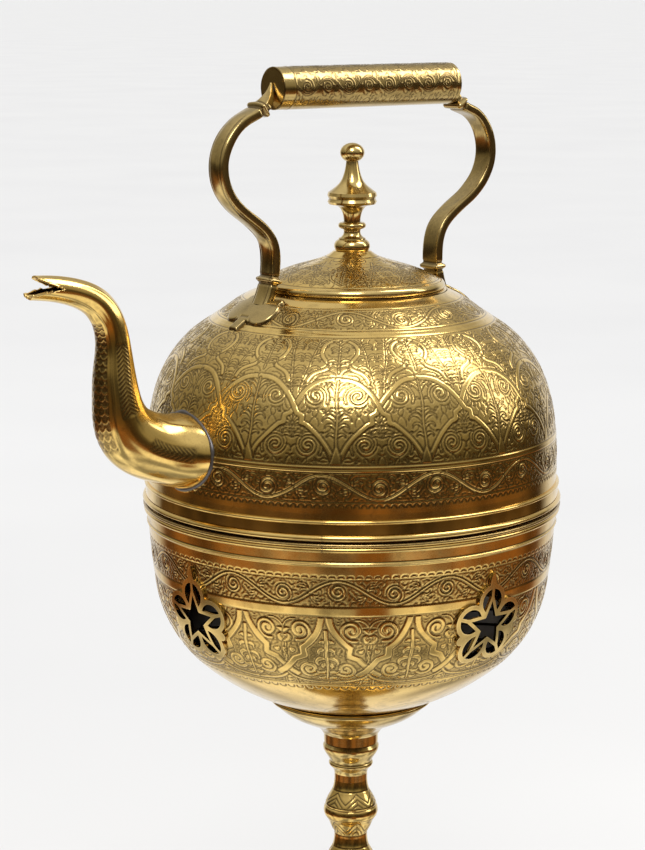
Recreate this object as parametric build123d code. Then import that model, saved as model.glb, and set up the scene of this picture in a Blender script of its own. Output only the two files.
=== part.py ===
"""Brass table-service kettle on its own charcoal brazier stand.

Frame: millimetres, +Z up. The origin is on the column's axis at floor level.
The spout points along -X and the handle lies in the XZ plane.
Heights marked "above the belt" count from the joint between kettle and brazier.
"""
from build123d import *
from math import cos, pi, radians, sin, hypot
import os

# --- driving dimensions -------------------------------------------------------
BELT_Z = 640.0            # height of the kettle-to-brazier joint above the floor
BELT_R = 175.0            # outer radius of the widest beads
SHEET = 1.6               # wall of the spun brass sheet
ROD_R = 5.0               # tie rod through the column
FREE = 0.3                # gap kept between bodies that only rest on each other

# Stand (heights above the belt unless named otherwise)
FOOT_R = 156.0            # radius over the foot's rolled edge
FOOT_EDGE_H = 9.0         # height of the foot's rolled edge
BALLAST_H = 9.0           # thickness of the cast ballast disc
BALLAST_BOSS = (15.0, 40.0)   # radius and height of the ballast's threaded boss
FOOT_TOP = -532.0         # flat top of the foot dome
SOCKET_TOP = -503.0       # joint between the foot socket and the lowest baluster
BALUSTER_COUNT = 5
BALUSTER_PITCH = 51.0
CUP_BOTTOM = SOCKET_TOP + BALUSTER_COUNT * BALUSTER_PITCH
CUP_TOP = -205.0
NECK_R = 14.2             # column radius where two castings meet
SEAT_Z = -178.0           # flat underside of the brazier bowl
SEAT_R = 44.0

# Brazier
RIM_TOP = 1.3
GRATE_Z = -112.0          # underside of the fire grate
GRATE_H = 6.0
GRATE_R = 141.0
BRACKET_COUNT = 3

# Vents
VENT_TURN = 4.4           # azimuth of the rear vent, degrees from +X
SEAM_TURN = 49.0          # azimuth of the bowl's own seam, midway between two vents
VENT_Z = -77.0
VENT_PLATE = 2.4
LOBE_R = 14.0
LOBE_AT = 21.0
STAR_TIP = 21.0
STAR_ROOT = 9.2
STAR_BAR = 2.7            # width of the strip left round the star opening
LOBE_BORDER = 3.7         # width of the strip left inside the lobed outline

# Kettle
BODY_FOOT = 7.7           # lower edge of the kettle body
BASE_BOTTOM = -32.0       # underside of the kettle's base pan
NECK_TOP = 178.0          # rim that the lid rests on
NECK_BORE = 69.8

# Lid
LID_R = 77.0
LID_REST = NECK_TOP + FREE
LID_CROWN = 208.6
LID_SHEET = 1.2

# Handle
GRIP_Z = 343.0
GRIP_R = 17.2
GRIP_ENDS = (-79.5, 102.0)
STRAP_LEAN = 0.05         # rearward lean of the whole handle
STRAP_FOOT_Z = 171.0
STRAP_W = 20.0
STRAP_T = 8.2
PLATE_T = 3.0             # thickness of the trefoil foot plates


# --- helpers ------------------------------------------------------------------
def lifted(points):
    """Points given above the belt, moved to heights above the floor."""
    return [(r, z + BELT_Z) for r, z in points]


def turned(*edges):
    """Solid of revolution about Z from a closed chain of (radius, height) edges."""
    face = Plane.XZ * make_face(Curve() + list(edges))
    return revolve(face, Axis.Z)


def turned_outline(points):
    """Solid of revolution from straight-sided (radius, height) points."""
    return turned(Polyline(*points, close=True))


def tube(r_out, r_in, z0, z1):
    return Pos(0, 0, z0) * (
        extrude(Circle(r_out) - Circle(r_in), z1 - z0)
    )


def rod(radius, z0, z1):
    return Pos(0, 0, z0) * extrude(Circle(radius), z1 - z0)


def inset(points, wall):
    """Each profile point moved square to the profile, towards its left side."""
    moved = []
    last = len(points) - 1
    for i, (r, z) in enumerate(points):
        r0, z0 = points[max(i - 1, 0)]
        r1, z1 = points[min(i + 1, last)]
        length = hypot(r1 - r0, z1 - z0)
        moved.append((r - wall * (z1 - z0) / length, z + wall * (r1 - r0) / length))
    return moved


def spun_solid(points):
    """Everything inside a smooth outer profile, closed flat at both ends."""
    (r0, z0), (r1, z1) = points[0], points[-1]
    return turned(
        Spline(*points), Polyline((r1, z1), (0, z1), (0, z0), (r0, z0))
    )


def at_azimuth(angle, shape):
    return Rot(0, 0, angle) * shape


def save(name, shape):
    export_step(shape, f"parts/{name}.step")
    return shape


# --- profiles of the two big spun shells ---------------------------------------
BOWL_OUTER = lifted([
    (170.8, -17.0), (169.2, -36.0), (166.6, -60.0), (162.6, -82.0), (154.6, -102.5),
    (139.5, -124.5), (119.0, -142.5), (92.0, -159.5), (66.0, -171.0),
])
BODY_OUTER = lifted([
    (171.4, 24.0), (171.6, 42.0), (170.6, 60.0), (167.4, 82.5), (160.2, 106.0),
    (147.2, 128.0), (130.0, 145.2), (112.0, 157.0), (94.0, 169.5), (79.0, 176.6),
])


# --- stand --------------------------------------------------------------------
def foot_ballast():
    boss_r, boss_top = BALLAST_BOSS
    disc = rod(FOOT_R - 8.5, 0, BALLAST_H)
    boss = rod(boss_r, BALLAST_H, boss_top)
    return disc + boss - rod(ROD_R + 0.05, 11.0, boss_top)


def foot_rim():
    inner = FOOT_R - 8.0
    return turned(
        Polyline((FOOT_R - 3.0, 0), (inner, 0), (inner, FOOT_EDGE_H), (FOOT_R - 3.0, FOOT_EDGE_H)),
        ThreePointArc(
            (FOOT_R - 3.0, FOOT_EDGE_H), (FOOT_R, FOOT_EDGE_H / 2), (FOOT_R - 3.0, 0)
        ),
    )


def foot_dome():
    top = FOOT_TOP + BELT_Z
    edge_z = FOOT_EDGE_H + 0.1
    wall = 2.4
    shoulder = [(27.0, top - 1.5), (36.0, top - 17.0), (54.0, top - 31.0), (79.0, top - 39.0)]
    apron = [(84.0, top - 43.0), (112.0, top - 52.0), (136.0, top - 70.0), (151.0, edge_z)]
    inner_shoulder = [(r - wall, z - wall) for r, z in shoulder]
    inner_apron = [(r - wall, z - wall) for r, z in apron[:-1]] + [(148.4, edge_z)]
    return turned(
        Line((ROD_R + 0.5, top), (24.0, top)),
        Line((24.0, top), shoulder[0]),
        Spline(*shoulder),
        Line(shoulder[-1], apron[0]),
        Spline(*apron),
        Line(apron[-1], inner_apron[-1]),
        Spline(*inner_apron[::-1]),
        Line(inner_apron[0], inner_shoulder[-1]),
        Spline(*inner_shoulder[::-1]),
        Line(inner_shoulder[0], (21.0, top - wall)),
        Line((21.0, top - wall), (ROD_R + 0.5, top - wall)),
        Line((ROD_R + 0.5, top - wall), (ROD_R + 0.5, top)),
    )


def bored(z0, z1, *edges):
    """Turned casting between two heights, bored through for the tie rod."""
    bore = ROD_R + 0.5
    first, last = edges[0] @ 0, edges[-1] @ 1
    return turned(
        *edges,
        Polyline((last.X, last.Y), (bore, z1), (bore, z0), (first.X, first.Y)),
    )


def foot_socket():
    z0, z1 = FOOT_TOP + BELT_Z, SOCKET_TOP + BELT_Z
    return bored(
        z0, z1,
        Line((23.5, z0), (25.0, z0 + 2.0)),
        ThreePointArc((25.0, z0 + 2.0), (28.0, z0 + 5.5), (25.0, z0 + 9.0)),
        Spline((25.0, z0 + 9.0), (20.5, z0 + 14.5), (15.2, z0 + 21.0), (NECK_R, z1)),
    )


def baluster(index):
    """One of the identical turned castings, the first one topmost."""
    z1 = CUP_BOTTOM + BELT_Z - index * BALUSTER_PITCH
    z0 = z1 - BALUSTER_PITCH
    return bored(
        z0, z1,
        Spline((NECK_R, z0), (14.6, z0 + 4.0), (16.6, z0 + 8.0), (19.4, z0 + 14.5), (22.2, z0 + 18.5)),
        ThreePointArc((22.2, z0 + 18.5), (23.4, z0 + 22.6), (22.8, z0 + 26.8)),
        Polyline((22.8, z0 + 26.8), (21.6, z0 + 28.0), (22.2, z0 + 29.4)),
        Spline((22.2, z0 + 29.4), (19.4, z0 + 35.5), (15.4, z0 + 43.5), (NECK_R, z1)),
    )


def column_cup():
    z0, z1 = CUP_BOTTOM + BELT_Z, CUP_TOP + BELT_Z
    return bored(
        z0, z1,
        Line((NECK_R, z0), (NECK_R, z0 + 6.0)),
        Spline((NECK_R, z0 + 6.0), (15.4, z0 + 9.6), (17.6, z0 + 12.4)),
        ThreePointArc((17.6, z0 + 12.4), (19.0, z0 + 14.6), (17.9, z0 + 16.8)),
        Spline((17.9, z0 + 16.8), (19.6, z0 + 20.5), (23.0, z0 + 26.0), (23.9, z0 + 31.0)),
        Polyline((23.9, z0 + 31.0), (22.2, z0 + 33.4), (23.2, z0 + 34.6), (23.2, z1)),
    )


def bowl_saucer():
    z0, seat = CUP_TOP + BELT_Z, SEAT_Z + BELT_Z
    lip = seat + 7.0
    bore = ROD_R + 0.5
    return turned(
        Line((bore, z0), (24.6, z0)),
        Spline((24.6, z0), (27.5, z0 + 4.0), (42.0, z0 + 12.5), (57.0, z0 + 20.5), (66.8, lip - 4.2)),
        ThreePointArc((66.8, lip - 4.2), (69.6, lip - 1.6), (68.0, lip)),
        Polyline((68.0, lip), (66.0, lip - 1.1), (SEAT_R + 8.0, seat - 0.02),
                 (bore, seat - 0.02), (bore, z0)),
    )


def tie_rod():
    return rod(ROD_R, 12.0, SEAT_Z + SHEET + 14.0 + BELT_Z)


def tie_rod_washer():
    z0 = SEAT_Z + SHEET + BELT_Z
    return tube(15.0, ROD_R + 0.05, z0, z0 + 2.0)


def tie_rod_nut():
    z0 = SEAT_Z + SHEET + 2.0 + BELT_Z
    hexagon = RegularPolygon(17.0 / 2, 6, major_radius=False)
    return Pos(0, 0, z0) * extrude(hexagon - Circle(ROD_R + 0.05), 8.0)


# --- brazier ------------------------------------------------------------------
def vent_frame(index):
    """Plane outside the bowl at one vent, its local Y axis upright."""
    angle = radians(VENT_TURN + 90.0 * index)
    outward = Vector(cos(angle), sin(angle), 0)
    across = Vector(-sin(angle), cos(angle), 0)
    origin = outward * (BELT_R + 10.0) + Vector(0, 0, VENT_Z + BELT_Z)
    return Plane(origin=origin, x_dir=across, z_dir=outward)


def lobed(margin):
    """Five-lobed outline of a vent, drawn in by a margin."""
    outline = Circle(LOBE_AT + 3.0 - margin)
    for k in range(5):
        outline += Rot(0, 0, 90 + 72 * k) * Pos(LOBE_AT, 0) * Circle(LOBE_R - margin)
    return outline


def star(bar=0.0):
    """Star opening, grown outward on every side by the width of a bar."""
    chord = hypot(STAR_TIP - STAR_ROOT * cos(pi / 5), STAR_ROOT * sin(pi / 5))
    depth = STAR_TIP * STAR_ROOT * sin(pi / 5) / chord
    growth = (depth + bar) / depth
    points = []
    for k in range(10):
        reach = growth * (STAR_TIP if k % 2 == 0 else STAR_ROOT)
        angle = pi / 2 + k * pi / 5
        points.append((reach * cos(angle), reach * sin(angle)))
    return make_face(Polyline(*points, close=True))


def vent_slots():
    """Pair of openings in the upper lobe, either side of the star point."""
    lobe = Pos(0, LOBE_AT) * Circle(LOBE_R - LOBE_BORDER)
    return lobe - star(STAR_BAR) - Pos(0, LOBE_AT + 6.0) * Rectangle(2.8, 2 * LOBE_R)


def vent_outline():
    outline = lobed(0.0)
    for angle in (90 + 108, 90 - 108):
        outline += Rot(0, 0, angle) * Pos(28.2, 0) * Circle(4.1)
    leaf = make_face(
        Spline((-3.4, 33.0), (-3.6, 38.0), (0.6, 45.5)) + Line((0.6, 45.5), (3.4, 33.0))
        + Line((3.4, 33.0), (-3.4, 33.0))
    )
    return outline + leaf


def vent_star(index, skin, shell):
    """Pierced rosette that follows the bowl's outer skin."""
    frame = vent_frame(index)
    plate = (extrude(frame * vent_outline(), -70.0) & shell) - skin
    plate -= extrude(frame * star(), -70.0)
    for k in range(5):
        for opening in vent_slots().faces():
            plate -= extrude(frame * Rot(0, 0, 72 * k) * opening, -70.0)
    return plate


def brazier_bowl():
    inner = inset(BOWL_OUTER, -SHEET)
    seat, floor = SEAT_Z + BELT_Z, SEAT_Z + SHEET + BELT_Z
    neck = (171.6, BELT_Z - 6.4)
    ridge = [(170.9, BELT_Z - 14.4), (172.2, BELT_Z - 15.6), BOWL_OUTER[0]]
    bowl = turned(
        Polyline(neck, *ridge),
        Spline(*BOWL_OUTER),
        Spline(BOWL_OUTER[-1], (56.0, seat + 2.4), (SEAT_R, seat), tangents=((-0.9, -0.44), (-1, 0))),
        Polyline((SEAT_R, seat), (ROD_R + 0.5, seat), (ROD_R + 0.5, floor), (SEAT_R, floor)),
        Spline(
            (SEAT_R, floor), (56.0, floor + 2.4), inner[-1], tangents=((1, 0), (0.9, 0.44))
        ),
        Spline(*inner[::-1]),
        Polyline(inner[0], (neck[0] - SHEET, neck[1]), neck),
    )
    bowl = at_azimuth(SEAM_TURN, bowl)
    for k in range(4):
        bowl -= extrude(vent_frame(k) * lobed(3.2), -70.0)
    return bowl


def brazier_rim():
    """Double rolled bead round the brazier's mouth."""
    top = RIM_TOP + BELT_Z
    split = BELT_Z - 2.2
    foot = BELT_Z - 6.4
    return turned(
        ThreePointArc((172.4, top), (BELT_R, BELT_Z - 0.4), (172.9, split)),
        ThreePointArc((172.9, split), (BELT_R - 0.4, BELT_Z - 4.2), (172.6, foot)),
        Polyline((172.6, foot), (169.8, foot), (169.8, top), (172.4, top)),
    )


def grate_brackets():
    """Small ledges soldered inside the bowl, for the fire grate to lie on."""
    inside = spun_solid(inset(BOWL_OUTER, -SHEET - 0.02)[::-1])
    top = GRATE_Z - FREE + BELT_Z
    group = []
    for k in range(BRACKET_COUNT):
        block = Pos(147.0, 0, top - 6.0) * Box(24.0, 18.0, 12.0)
        group.append((at_azimuth(50 + 120 * k, block) & inside).solid())
    return Compound(children=group)


def fire_grate():
    plate = Circle(GRATE_R)
    for middle, count, reach in ((49.0, 8, 50.0), (107.0, 16, 50.0)):
        for k in range(count):
            plate -= Rot(0, 0, 360.0 * k / count) * Pos(middle, 0) * SlotOverall(reach, 8.0)
    return Pos(0, 0, GRATE_Z + BELT_Z) * extrude(plate - Circle(10.0), GRATE_H)


# --- kettle -------------------------------------------------------------------
def kettle_body():
    inner = inset(BODY_OUTER, SHEET)
    foot = BODY_FOOT + BELT_Z
    foot_r = BODY_OUTER[0][0]
    shell = turned(
        Line((foot_r, foot), BODY_OUTER[0]),
        Spline(*BODY_OUTER),
        Line(BODY_OUTER[-1], inner[-1]),
        Spline(*inner[::-1]),
        Polyline(inner[0], (foot_r - SHEET, foot), (foot_r, foot)),
    )
    opening = Plane(
        origin=(-BELT_R, 0, SPOUT_PATH[1][1] + BELT_Z), x_dir=(0, 1, 0), z_dir=(1, 0, 0)
    )
    return shell - extrude(opening * Ellipse(*SPOUT_OPENING), 40.0)


def belt_band():
    """Plain strip wrapped round the body's lower edge, with a ridge on top."""
    low, high = BODY_FOOT + 0.4 + BELT_Z, 19.0 + BELT_Z
    inner = BODY_OUTER[0][0] + 0.02
    return turned(
        Polyline((inner, low), (172.9, low), (172.6, high - 3.0)),
        ThreePointArc((172.6, high - 3.0), (173.8, high - 1.5), (172.6, high)),
        Polyline((172.6, high), (inner, high), (inner, low)),
    )


def belt_bead():
    """Wire bead under the body's edge; the kettle stands on it."""
    z = (RIM_TOP + FREE + BODY_FOOT) / 2 + BELT_Z
    size = (BODY_FOOT - RIM_TOP - FREE) / 2 - 0.05
    return Pos(0, 0, z) * Torus(BELT_R - size + 0.3, size)


def kettle_base():
    """Pan that closes the kettle and hangs in the brazier over the fire."""
    bottom = BASE_BOTTOM + BELT_Z
    lap_r = BODY_OUTER[0][0] - SHEET - 0.05
    wall_r = 165.5
    corner = 12.0
    knee = (wall_r, BELT_Z + 0.5)
    lap = (lap_r, BODY_FOOT - 1.0 + BELT_Z)
    top = BODY_FOOT + 10.0 + BELT_Z
    return turned(
        Polyline((lap_r - SHEET, top), (lap_r, top), lap, knee, (wall_r, bottom + corner)),
        ThreePointArc(
            (wall_r, bottom + corner),
            (wall_r - corner * 0.293, bottom + corner * 0.293),
            (wall_r - corner, bottom),
        ),
        Polyline((wall_r - corner, bottom), (0, bottom + 3.0), (0, bottom + 3.0 + SHEET),
                 (wall_r - corner, bottom + SHEET)),
        ThreePointArc(
            (wall_r - corner, bottom + SHEET),
            (wall_r - corner * 0.293 - SHEET * 0.707, bottom + corner * 0.293 + SHEET * 0.707),
            (wall_r - SHEET, bottom + corner),
        ),
        Polyline((wall_r - SHEET, bottom + corner), (knee[0] - SHEET, knee[1] + 0.8),
                 (lap[0] - SHEET, lap[1] + 0.8), (lap_r - SHEET, top)),
    )


def neck_ring():
    """Angle-section ring soldered in the mouth, for the lid to rest on."""
    top = NECK_TOP + BELT_Z
    seat = BODY_OUTER[-1][1] + 0.02
    return turned_outline([
        (NECK_BORE, top), (LID_R + 1.4, top), (LID_R + 1.4, seat), (NECK_BORE + 1.6, seat),
        (NECK_BORE + 1.6, top - 14.0), (NECK_BORE, top - 14.0),
    ])


# --- spout --------------------------------------------------------------------
# Stations along the spout: (distance from the axis, height above the belt)
SPOUT_PATH = [
    (150.0, 57.5), (172.0, 60.5), (192.0, 65.0), (211.0, 73.5), (223.5, 88.0),
    (228.6, 107.0), (230.5, 128.0), (231.0, 150.0), (235.0, 169.0), (246.0, 184.5),
    (262.0, 193.0), (282.0, 198.0), (306.0, 200.5),
]
# Half height in the XZ plane and half width along Y at each station
SPOUT_SIZE = [
    (30.5, 42.0), (30.0, 38.0), (27.5, 30.0), (26.5, 25.5), (23.5, 22.5),
    (19.0, 20.5), (16.4, 17.6), (13.6, 14.6), (12.6, 13.2), (12.0, 12.2),
    (11.0, 11.4), (10.0, 10.4), (9.2, 9.4),
]
SPOUT_WALL = 2.2
SPOUT_OPENING = (31.0, 23.0)  # half width and half height of the hole in the body


def path_normals(path):
    """Unit tangent at each station, from the stations beside it."""
    tangents = []
    last = len(path) - 1
    for i in range(len(path)):
        x0, z0 = path[max(i - 1, 0)]
        x1, z1 = path[min(i + 1, last)]
        length = hypot(x1 - x0, z1 - z0)
        tangents.append(((x1 - x0) / length, (z1 - z0) / length))
    return tangents


def spout_core(wall):
    sections = []
    for (x, z), (tx, tz), (tall, wide) in zip(SPOUT_PATH, path_normals(SPOUT_PATH), SPOUT_SIZE):
        plane = Plane(
            origin=(-x, 0, z + BELT_Z), x_dir=(0, 1, 0), z_dir=(-tx, 0, tz)
        )
        sections.append(plane * Ellipse(wide - wall, tall - wall))
    return loft(sections)


def spout_mouth():
    """Wedge that opens the end of the spout like a beak."""
    corner = (-277.0, 198.6 + BELT_Z)
    upper, lower = (-320.0, 219.0 + BELT_Z), (-320.0, 190.6 + BELT_Z)
    wedge = make_face(Polyline(corner, upper, lower, close=True))
    return extrude(Plane.XZ * wedge, 30.0, both=True)


def spout(skin):
    tips = Plane.XZ * make_face(
        Polyline((-288.0, 230.0 + BELT_Z), (-299.0, 207.0 + BELT_Z), (-308.0, 198.0 + BELT_Z),
                 (-300.0, 186.0 + BELT_Z), (-330.0, 180.0 + BELT_Z), (-330.0, 230.0 + BELT_Z), close=True)
    )
    casting = spout_core(0.0) - spout_core(SPOUT_WALL)
    casting = casting - spout_mouth() - extrude(tips, 30.0, both=True)
    return (casting - skin).solids().sort_by(SortBy.VOLUME)[-1]


def spout_strainer():
    """Pierced plate across the spout's root."""
    (x, z), (tall, wide) = SPOUT_PATH[1], SPOUT_SIZE[1]
    plane = Plane(origin=(-x - 4.0, 0, z + 1.0 + BELT_Z), x_dir=(0, 1, 0), z_dir=(-1, 0, 0))
    blank = Ellipse(wide - SPOUT_WALL - 4.0, tall - SPOUT_WALL - 2.8)
    for row in range(-2, 3):
        for column in range(-3, 4 - abs(row) % 2):
            across = (column + abs(row) % 2 / 2) * 8.4
            upright = row * 7.6
            if hypot(across / wide, upright / tall) < 0.68:
                blank -= Pos(across, upright) * Circle(2.2)
    return extrude(plane * blank, 1.2)


# --- lid ----------------------------------------------------------------------
def lid_rim():
    low, high = LID_REST + BELT_Z, LID_REST + 6.3 + BELT_Z
    return turned(
        Polyline((LID_R - 2.6, high), (67.4, high), (67.4, low), (LID_R - 1.2, low)),
        Spline((LID_R - 1.2, low), (LID_R, low + 2.4), (LID_R - 0.6, low + 4.6), (LID_R - 2.6, high)),
    )


def lid_collar():
    low, high = LID_REST - 13.0 + BELT_Z, LID_REST - 0.02 + BELT_Z
    return tube(NECK_BORE - 0.7, NECK_BORE - 1.9, low, high)


def lid_dome():
    foot = LID_REST + 6.32 + BELT_Z
    crown = LID_CROWN + BELT_Z
    ogee = [
        (73.4, foot), (66.0, foot + 4.0), (54.0, foot + 9.2), (40.0, foot + 13.6),
        (27.0, foot + 17.6), (18.6, crown - 2.4), (15.4, crown),
    ]
    inner = [(r - 0.3, z - LID_SHEET) for r, z in ogee[1:-1]]
    return turned(
        Spline(*ogee),
        Polyline(ogee[-1], (4.2, crown), (4.2, crown - LID_SHEET), (15.0, crown - LID_SHEET)),
        Spline((15.0, crown - LID_SHEET), *inner[::-1], (71.4, foot)),
        Line((71.4, foot), ogee[0]),
    )


def finial():
    base = LID_CROWN + 0.02 + BELT_Z
    ball_r, ball_h, ball_z = 10.1, 8.1, 80.4

    def up(r, dz):
        return (r, base + dz)

    ball = [
        up(ball_r * cos(radians(turn)), ball_z + ball_h * sin(radians(turn)))
        for turn in range(-60, 81, 20)
    ]
    return turned(
        Line(up(0, 0), up(13.4, 0)),
        Spline(up(13.4, 0), up(14.9, 3.2), up(14.2, 6.6), up(12.0, 8.8)),
        Polyline(up(12.0, 8.8), up(11.2, 9.2), up(11.0, 10.4)),
        Spline(up(11.0, 10.4), up(8.0, 12.4), up(6.9, 15.4), up(8.2, 18.2)),
        ThreePointArc(up(8.2, 18.2), up(11.5, 20.8), up(8.0, 23.2)),
        Line(up(8.0, 23.2), up(6.9, 23.9)),
        Spline(up(6.9, 23.9), up(7.8, 30.2), up(10.2, 35.0), up(15.6, 37.6)),
        Polyline(up(15.6, 37.6), up(19.4, 38.4), up(20.4, 40.4), up(19.2, 42.8), up(20.5, 45.4),
                 up(19.9, 48.0)),
        Spline(up(19.9, 48.0), up(15.2, 51.4), up(10.4, 55.9), up(6.8, 63.6), ball[0]),
        Spline(*ball, up(0, ball_z + ball_h)),
        Line(up(0, ball_z + ball_h), up(0, 0)),
    ) + rod(4.0, base - 12.0, base + 1.0)


def finial_washer():
    high = LID_CROWN - LID_SHEET - 0.02 + BELT_Z
    return tube(9.0, 4.05, high - 1.2, high)


def finial_nut():
    high = LID_CROWN - LID_SHEET - 1.24 + BELT_Z
    hexagon = RegularPolygon(13.0 / 2, 6, major_radius=False)
    return Pos(0, 0, high - 5.0) * extrude(hexagon - Circle(4.05), 5.0)


# --- handle -------------------------------------------------------------------
# One strap's centre line before the lean: (distance from the axis, above the belt)
STRAP_PATH = [
    (95.5, 163.0), (88.6, 176.0), (84.9, 190.0), (84.0, 206.0), (87.6, 222.0),
    (100.5, 236.0), (117.5, 248.0), (131.0, 262.5), (137.2, 282.0), (132.4, 302.6),
    (117.0, 318.6), (101.0, 326.6), (90.9, 330.4),
]
KNUCKLES = (2, 11)        # stations that carry a raised moulding


def leaned(x, z, side):
    return side * x + STRAP_LEAN * (z - STRAP_FOOT_Z)


def strap_section(station, side, wide, thick, swell=0.0):
    """Five-sided section: flat inner face, low ridge along the outer face."""
    x, z = STRAP_PATH[station]
    tx, tz = path_normals(STRAP_PATH)[station]
    plane = Plane(
        origin=(leaned(x, z, side), 0, z + BELT_Z), x_dir=(0, 1, 0),
        z_dir=(side * tx, 0, tz),
    )
    half_w, half_t = wide / 2 + swell, thick / 2 + swell
    outward = plane.y_dir.dot(Vector(side * tz, 0, -tx))
    flip = 1 if outward > 0 else -1
    profile = Polyline(
        (-half_w, -flip * half_t), (half_w, -flip * half_t), (half_w, flip * half_t * 0.45),
        (0, flip * half_t * 1.25), (-half_w, flip * half_t * 0.45), close=True,
    )
    return plane, make_face(profile)


def strap_bar(side):
    sections = []
    for station in range(len(STRAP_PATH)):
        plane, face = strap_section(station, side, STRAP_W, STRAP_T)
        sections.append(plane * face)
    return loft(sections)


def strap_knuckle(station, side):
    plane, face = strap_section(station, side, STRAP_W, STRAP_T, swell=1.4)
    return extrude(plane * face, 2.2, both=True)


def grip_end(side):
    return GRIP_ENDS[0] if side < 0 else GRIP_ENDS[1]


def strap_tongue(side):
    """Leaf that rises from the strap's top on to the middle of the end cap."""
    face_x = grip_end(side) + side * 0.02
    outer = make_face(
        Polyline((face_x, 321.0 + BELT_Z), (face_x + side * 21.0, 322.5 + BELT_Z),
                 (face_x + side * 12.0, 329.0 + BELT_Z), (face_x + side * 3.6, GRIP_Z + 1.0 + BELT_Z),
                 (face_x, GRIP_Z + 4.0 + BELT_Z), close=True)
    )
    blade = extrude(Plane.XZ * outer, STRAP_W / 2, both=True)
    front = Plane(origin=(face_x - side, 0, BELT_Z), x_dir=(0, side, 0), z_dir=(side, 0, 0))
    leaf = make_face(
        Polyline((-10.0, 318.0), (10.0, 318.0), (8.6, 326.0), (2.2, GRIP_Z), (0, GRIP_Z + 4.0),
                 (-2.2, GRIP_Z), (-8.6, 326.0), close=True)
    )
    return blade & extrude(front * leaf, 40.0)


def handle_strap(side, plate_skin):
    bar = strap_bar(side)
    for station in KNUCKLES:
        bar += strap_knuckle(station, side)
    bar += strap_tongue(side)
    beyond = Pos(grip_end(side) - side * 30.0, 0, GRIP_Z + BELT_Z) * Box(60.0, 60.0, 60.0)
    bar = bar - plate_skin - beyond
    return bar.solids().sort_by(SortBy.VOLUME)[-1]


def handle_foot(side, skin, plate_skin):
    """Trefoil plate: one square tab down the slope and two round side lobes."""
    outline = Pos(112.0, 0) * Rectangle(14.0, 10.5) + Pos(96.5, 0) * Rectangle(28.0, 20.0)
    for across in (-1, 1):
        outline += Pos(98.0, across * 15.0) * Circle(13.5)
        outline += make_face(
            Polyline((82.2, across * 19.0), (82.6, 0), (96.0, 0), (92.0, across * 11.0), close=True)
        )
    blank = Pos(0, 0, 60.0 + BELT_Z) * extrude(outline, 160.0)
    if side < 0:
        blank = Rot(0, 0, 180) * blank
    return (blank & plate_skin) - skin


def handle_grip():
    length = GRIP_ENDS[1] - GRIP_ENDS[0]
    ring = Circle(GRIP_R) - Circle(GRIP_R - 1.2)
    plane = Plane(origin=(GRIP_ENDS[0], 0, GRIP_Z + BELT_Z), x_dir=(0, 1, 0), z_dir=(1, 0, 0))
    return extrude(plane * ring, length)


def grip_cap(side):
    """Disc let into the end of the grip tube."""
    disc = Circle(GRIP_R - 1.25) - Circle(3.05)
    plane = Plane(origin=(grip_end(side), 0, GRIP_Z + BELT_Z), x_dir=(0, 1, 0), z_dir=(-side, 0, 0))
    return extrude(plane * disc, 2.0)


def grip_rod():
    plane = Plane(origin=(GRIP_ENDS[0], 0, GRIP_Z + BELT_Z), x_dir=(0, 1, 0), z_dir=(1, 0, 0))
    return extrude(plane * Circle(3.0), GRIP_ENDS[1] - GRIP_ENDS[0])


# --- build --------------------------------------------------------------------
os.makedirs("parts", exist_ok=True)

bowl_skin = at_azimuth(SEAM_TURN, spun_solid(BOWL_OUTER[::-1]))
vent_shell = at_azimuth(SEAM_TURN, spun_solid(inset(BOWL_OUTER, VENT_PLATE)[::-1]))
body_skin = spun_solid(BODY_OUTER)
plate_skin = spun_solid(inset(BODY_OUTER, -PLATE_T))

save("foot_ballast", foot_ballast())
save("foot_rim", foot_rim())
save("foot_dome", foot_dome())
save("foot_socket", foot_socket())
for number in range(BALUSTER_COUNT):
    save(f"baluster_{number + 1}", baluster(number))
save("column_cup", column_cup())
save("bowl_saucer", bowl_saucer())
save("tie_rod", tie_rod())
save("tie_rod_washer", tie_rod_washer())
save("tie_rod_nut", tie_rod_nut())

save("brazier_bowl", brazier_bowl())
save("brazier_rim", brazier_rim())
for number in range(4):
    save(f"vent_star_{number + 1}", vent_star(number, bowl_skin, vent_shell))
save("grate_brackets", grate_brackets())
save("fire_grate", fire_grate())

save("kettle_body", kettle_body())
save("belt_band", belt_band())
save("belt_bead", belt_bead())
save("kettle_base", kettle_base())
save("neck_ring", neck_ring())
save("spout", spout(body_skin))
save("spout_strainer", spout_strainer())

save("lid_rim", lid_rim())
save("lid_collar", lid_collar())
save("lid_dome", lid_dome())
save("finial", finial())
save("finial_washer", finial_washer())
save("finial_nut", finial_nut())

for side, name in ((-1, "front"), (1, "rear")):
    save(f"handle_strap_{name}", handle_strap(side, plate_skin))
    save(f"handle_foot_{name}", handle_foot(side, body_skin, plate_skin))
    save(f"grip_cap_{name}", grip_cap(side))
save("handle_grip", handle_grip())
save("grip_rod", grip_rod())
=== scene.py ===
import math

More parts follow.
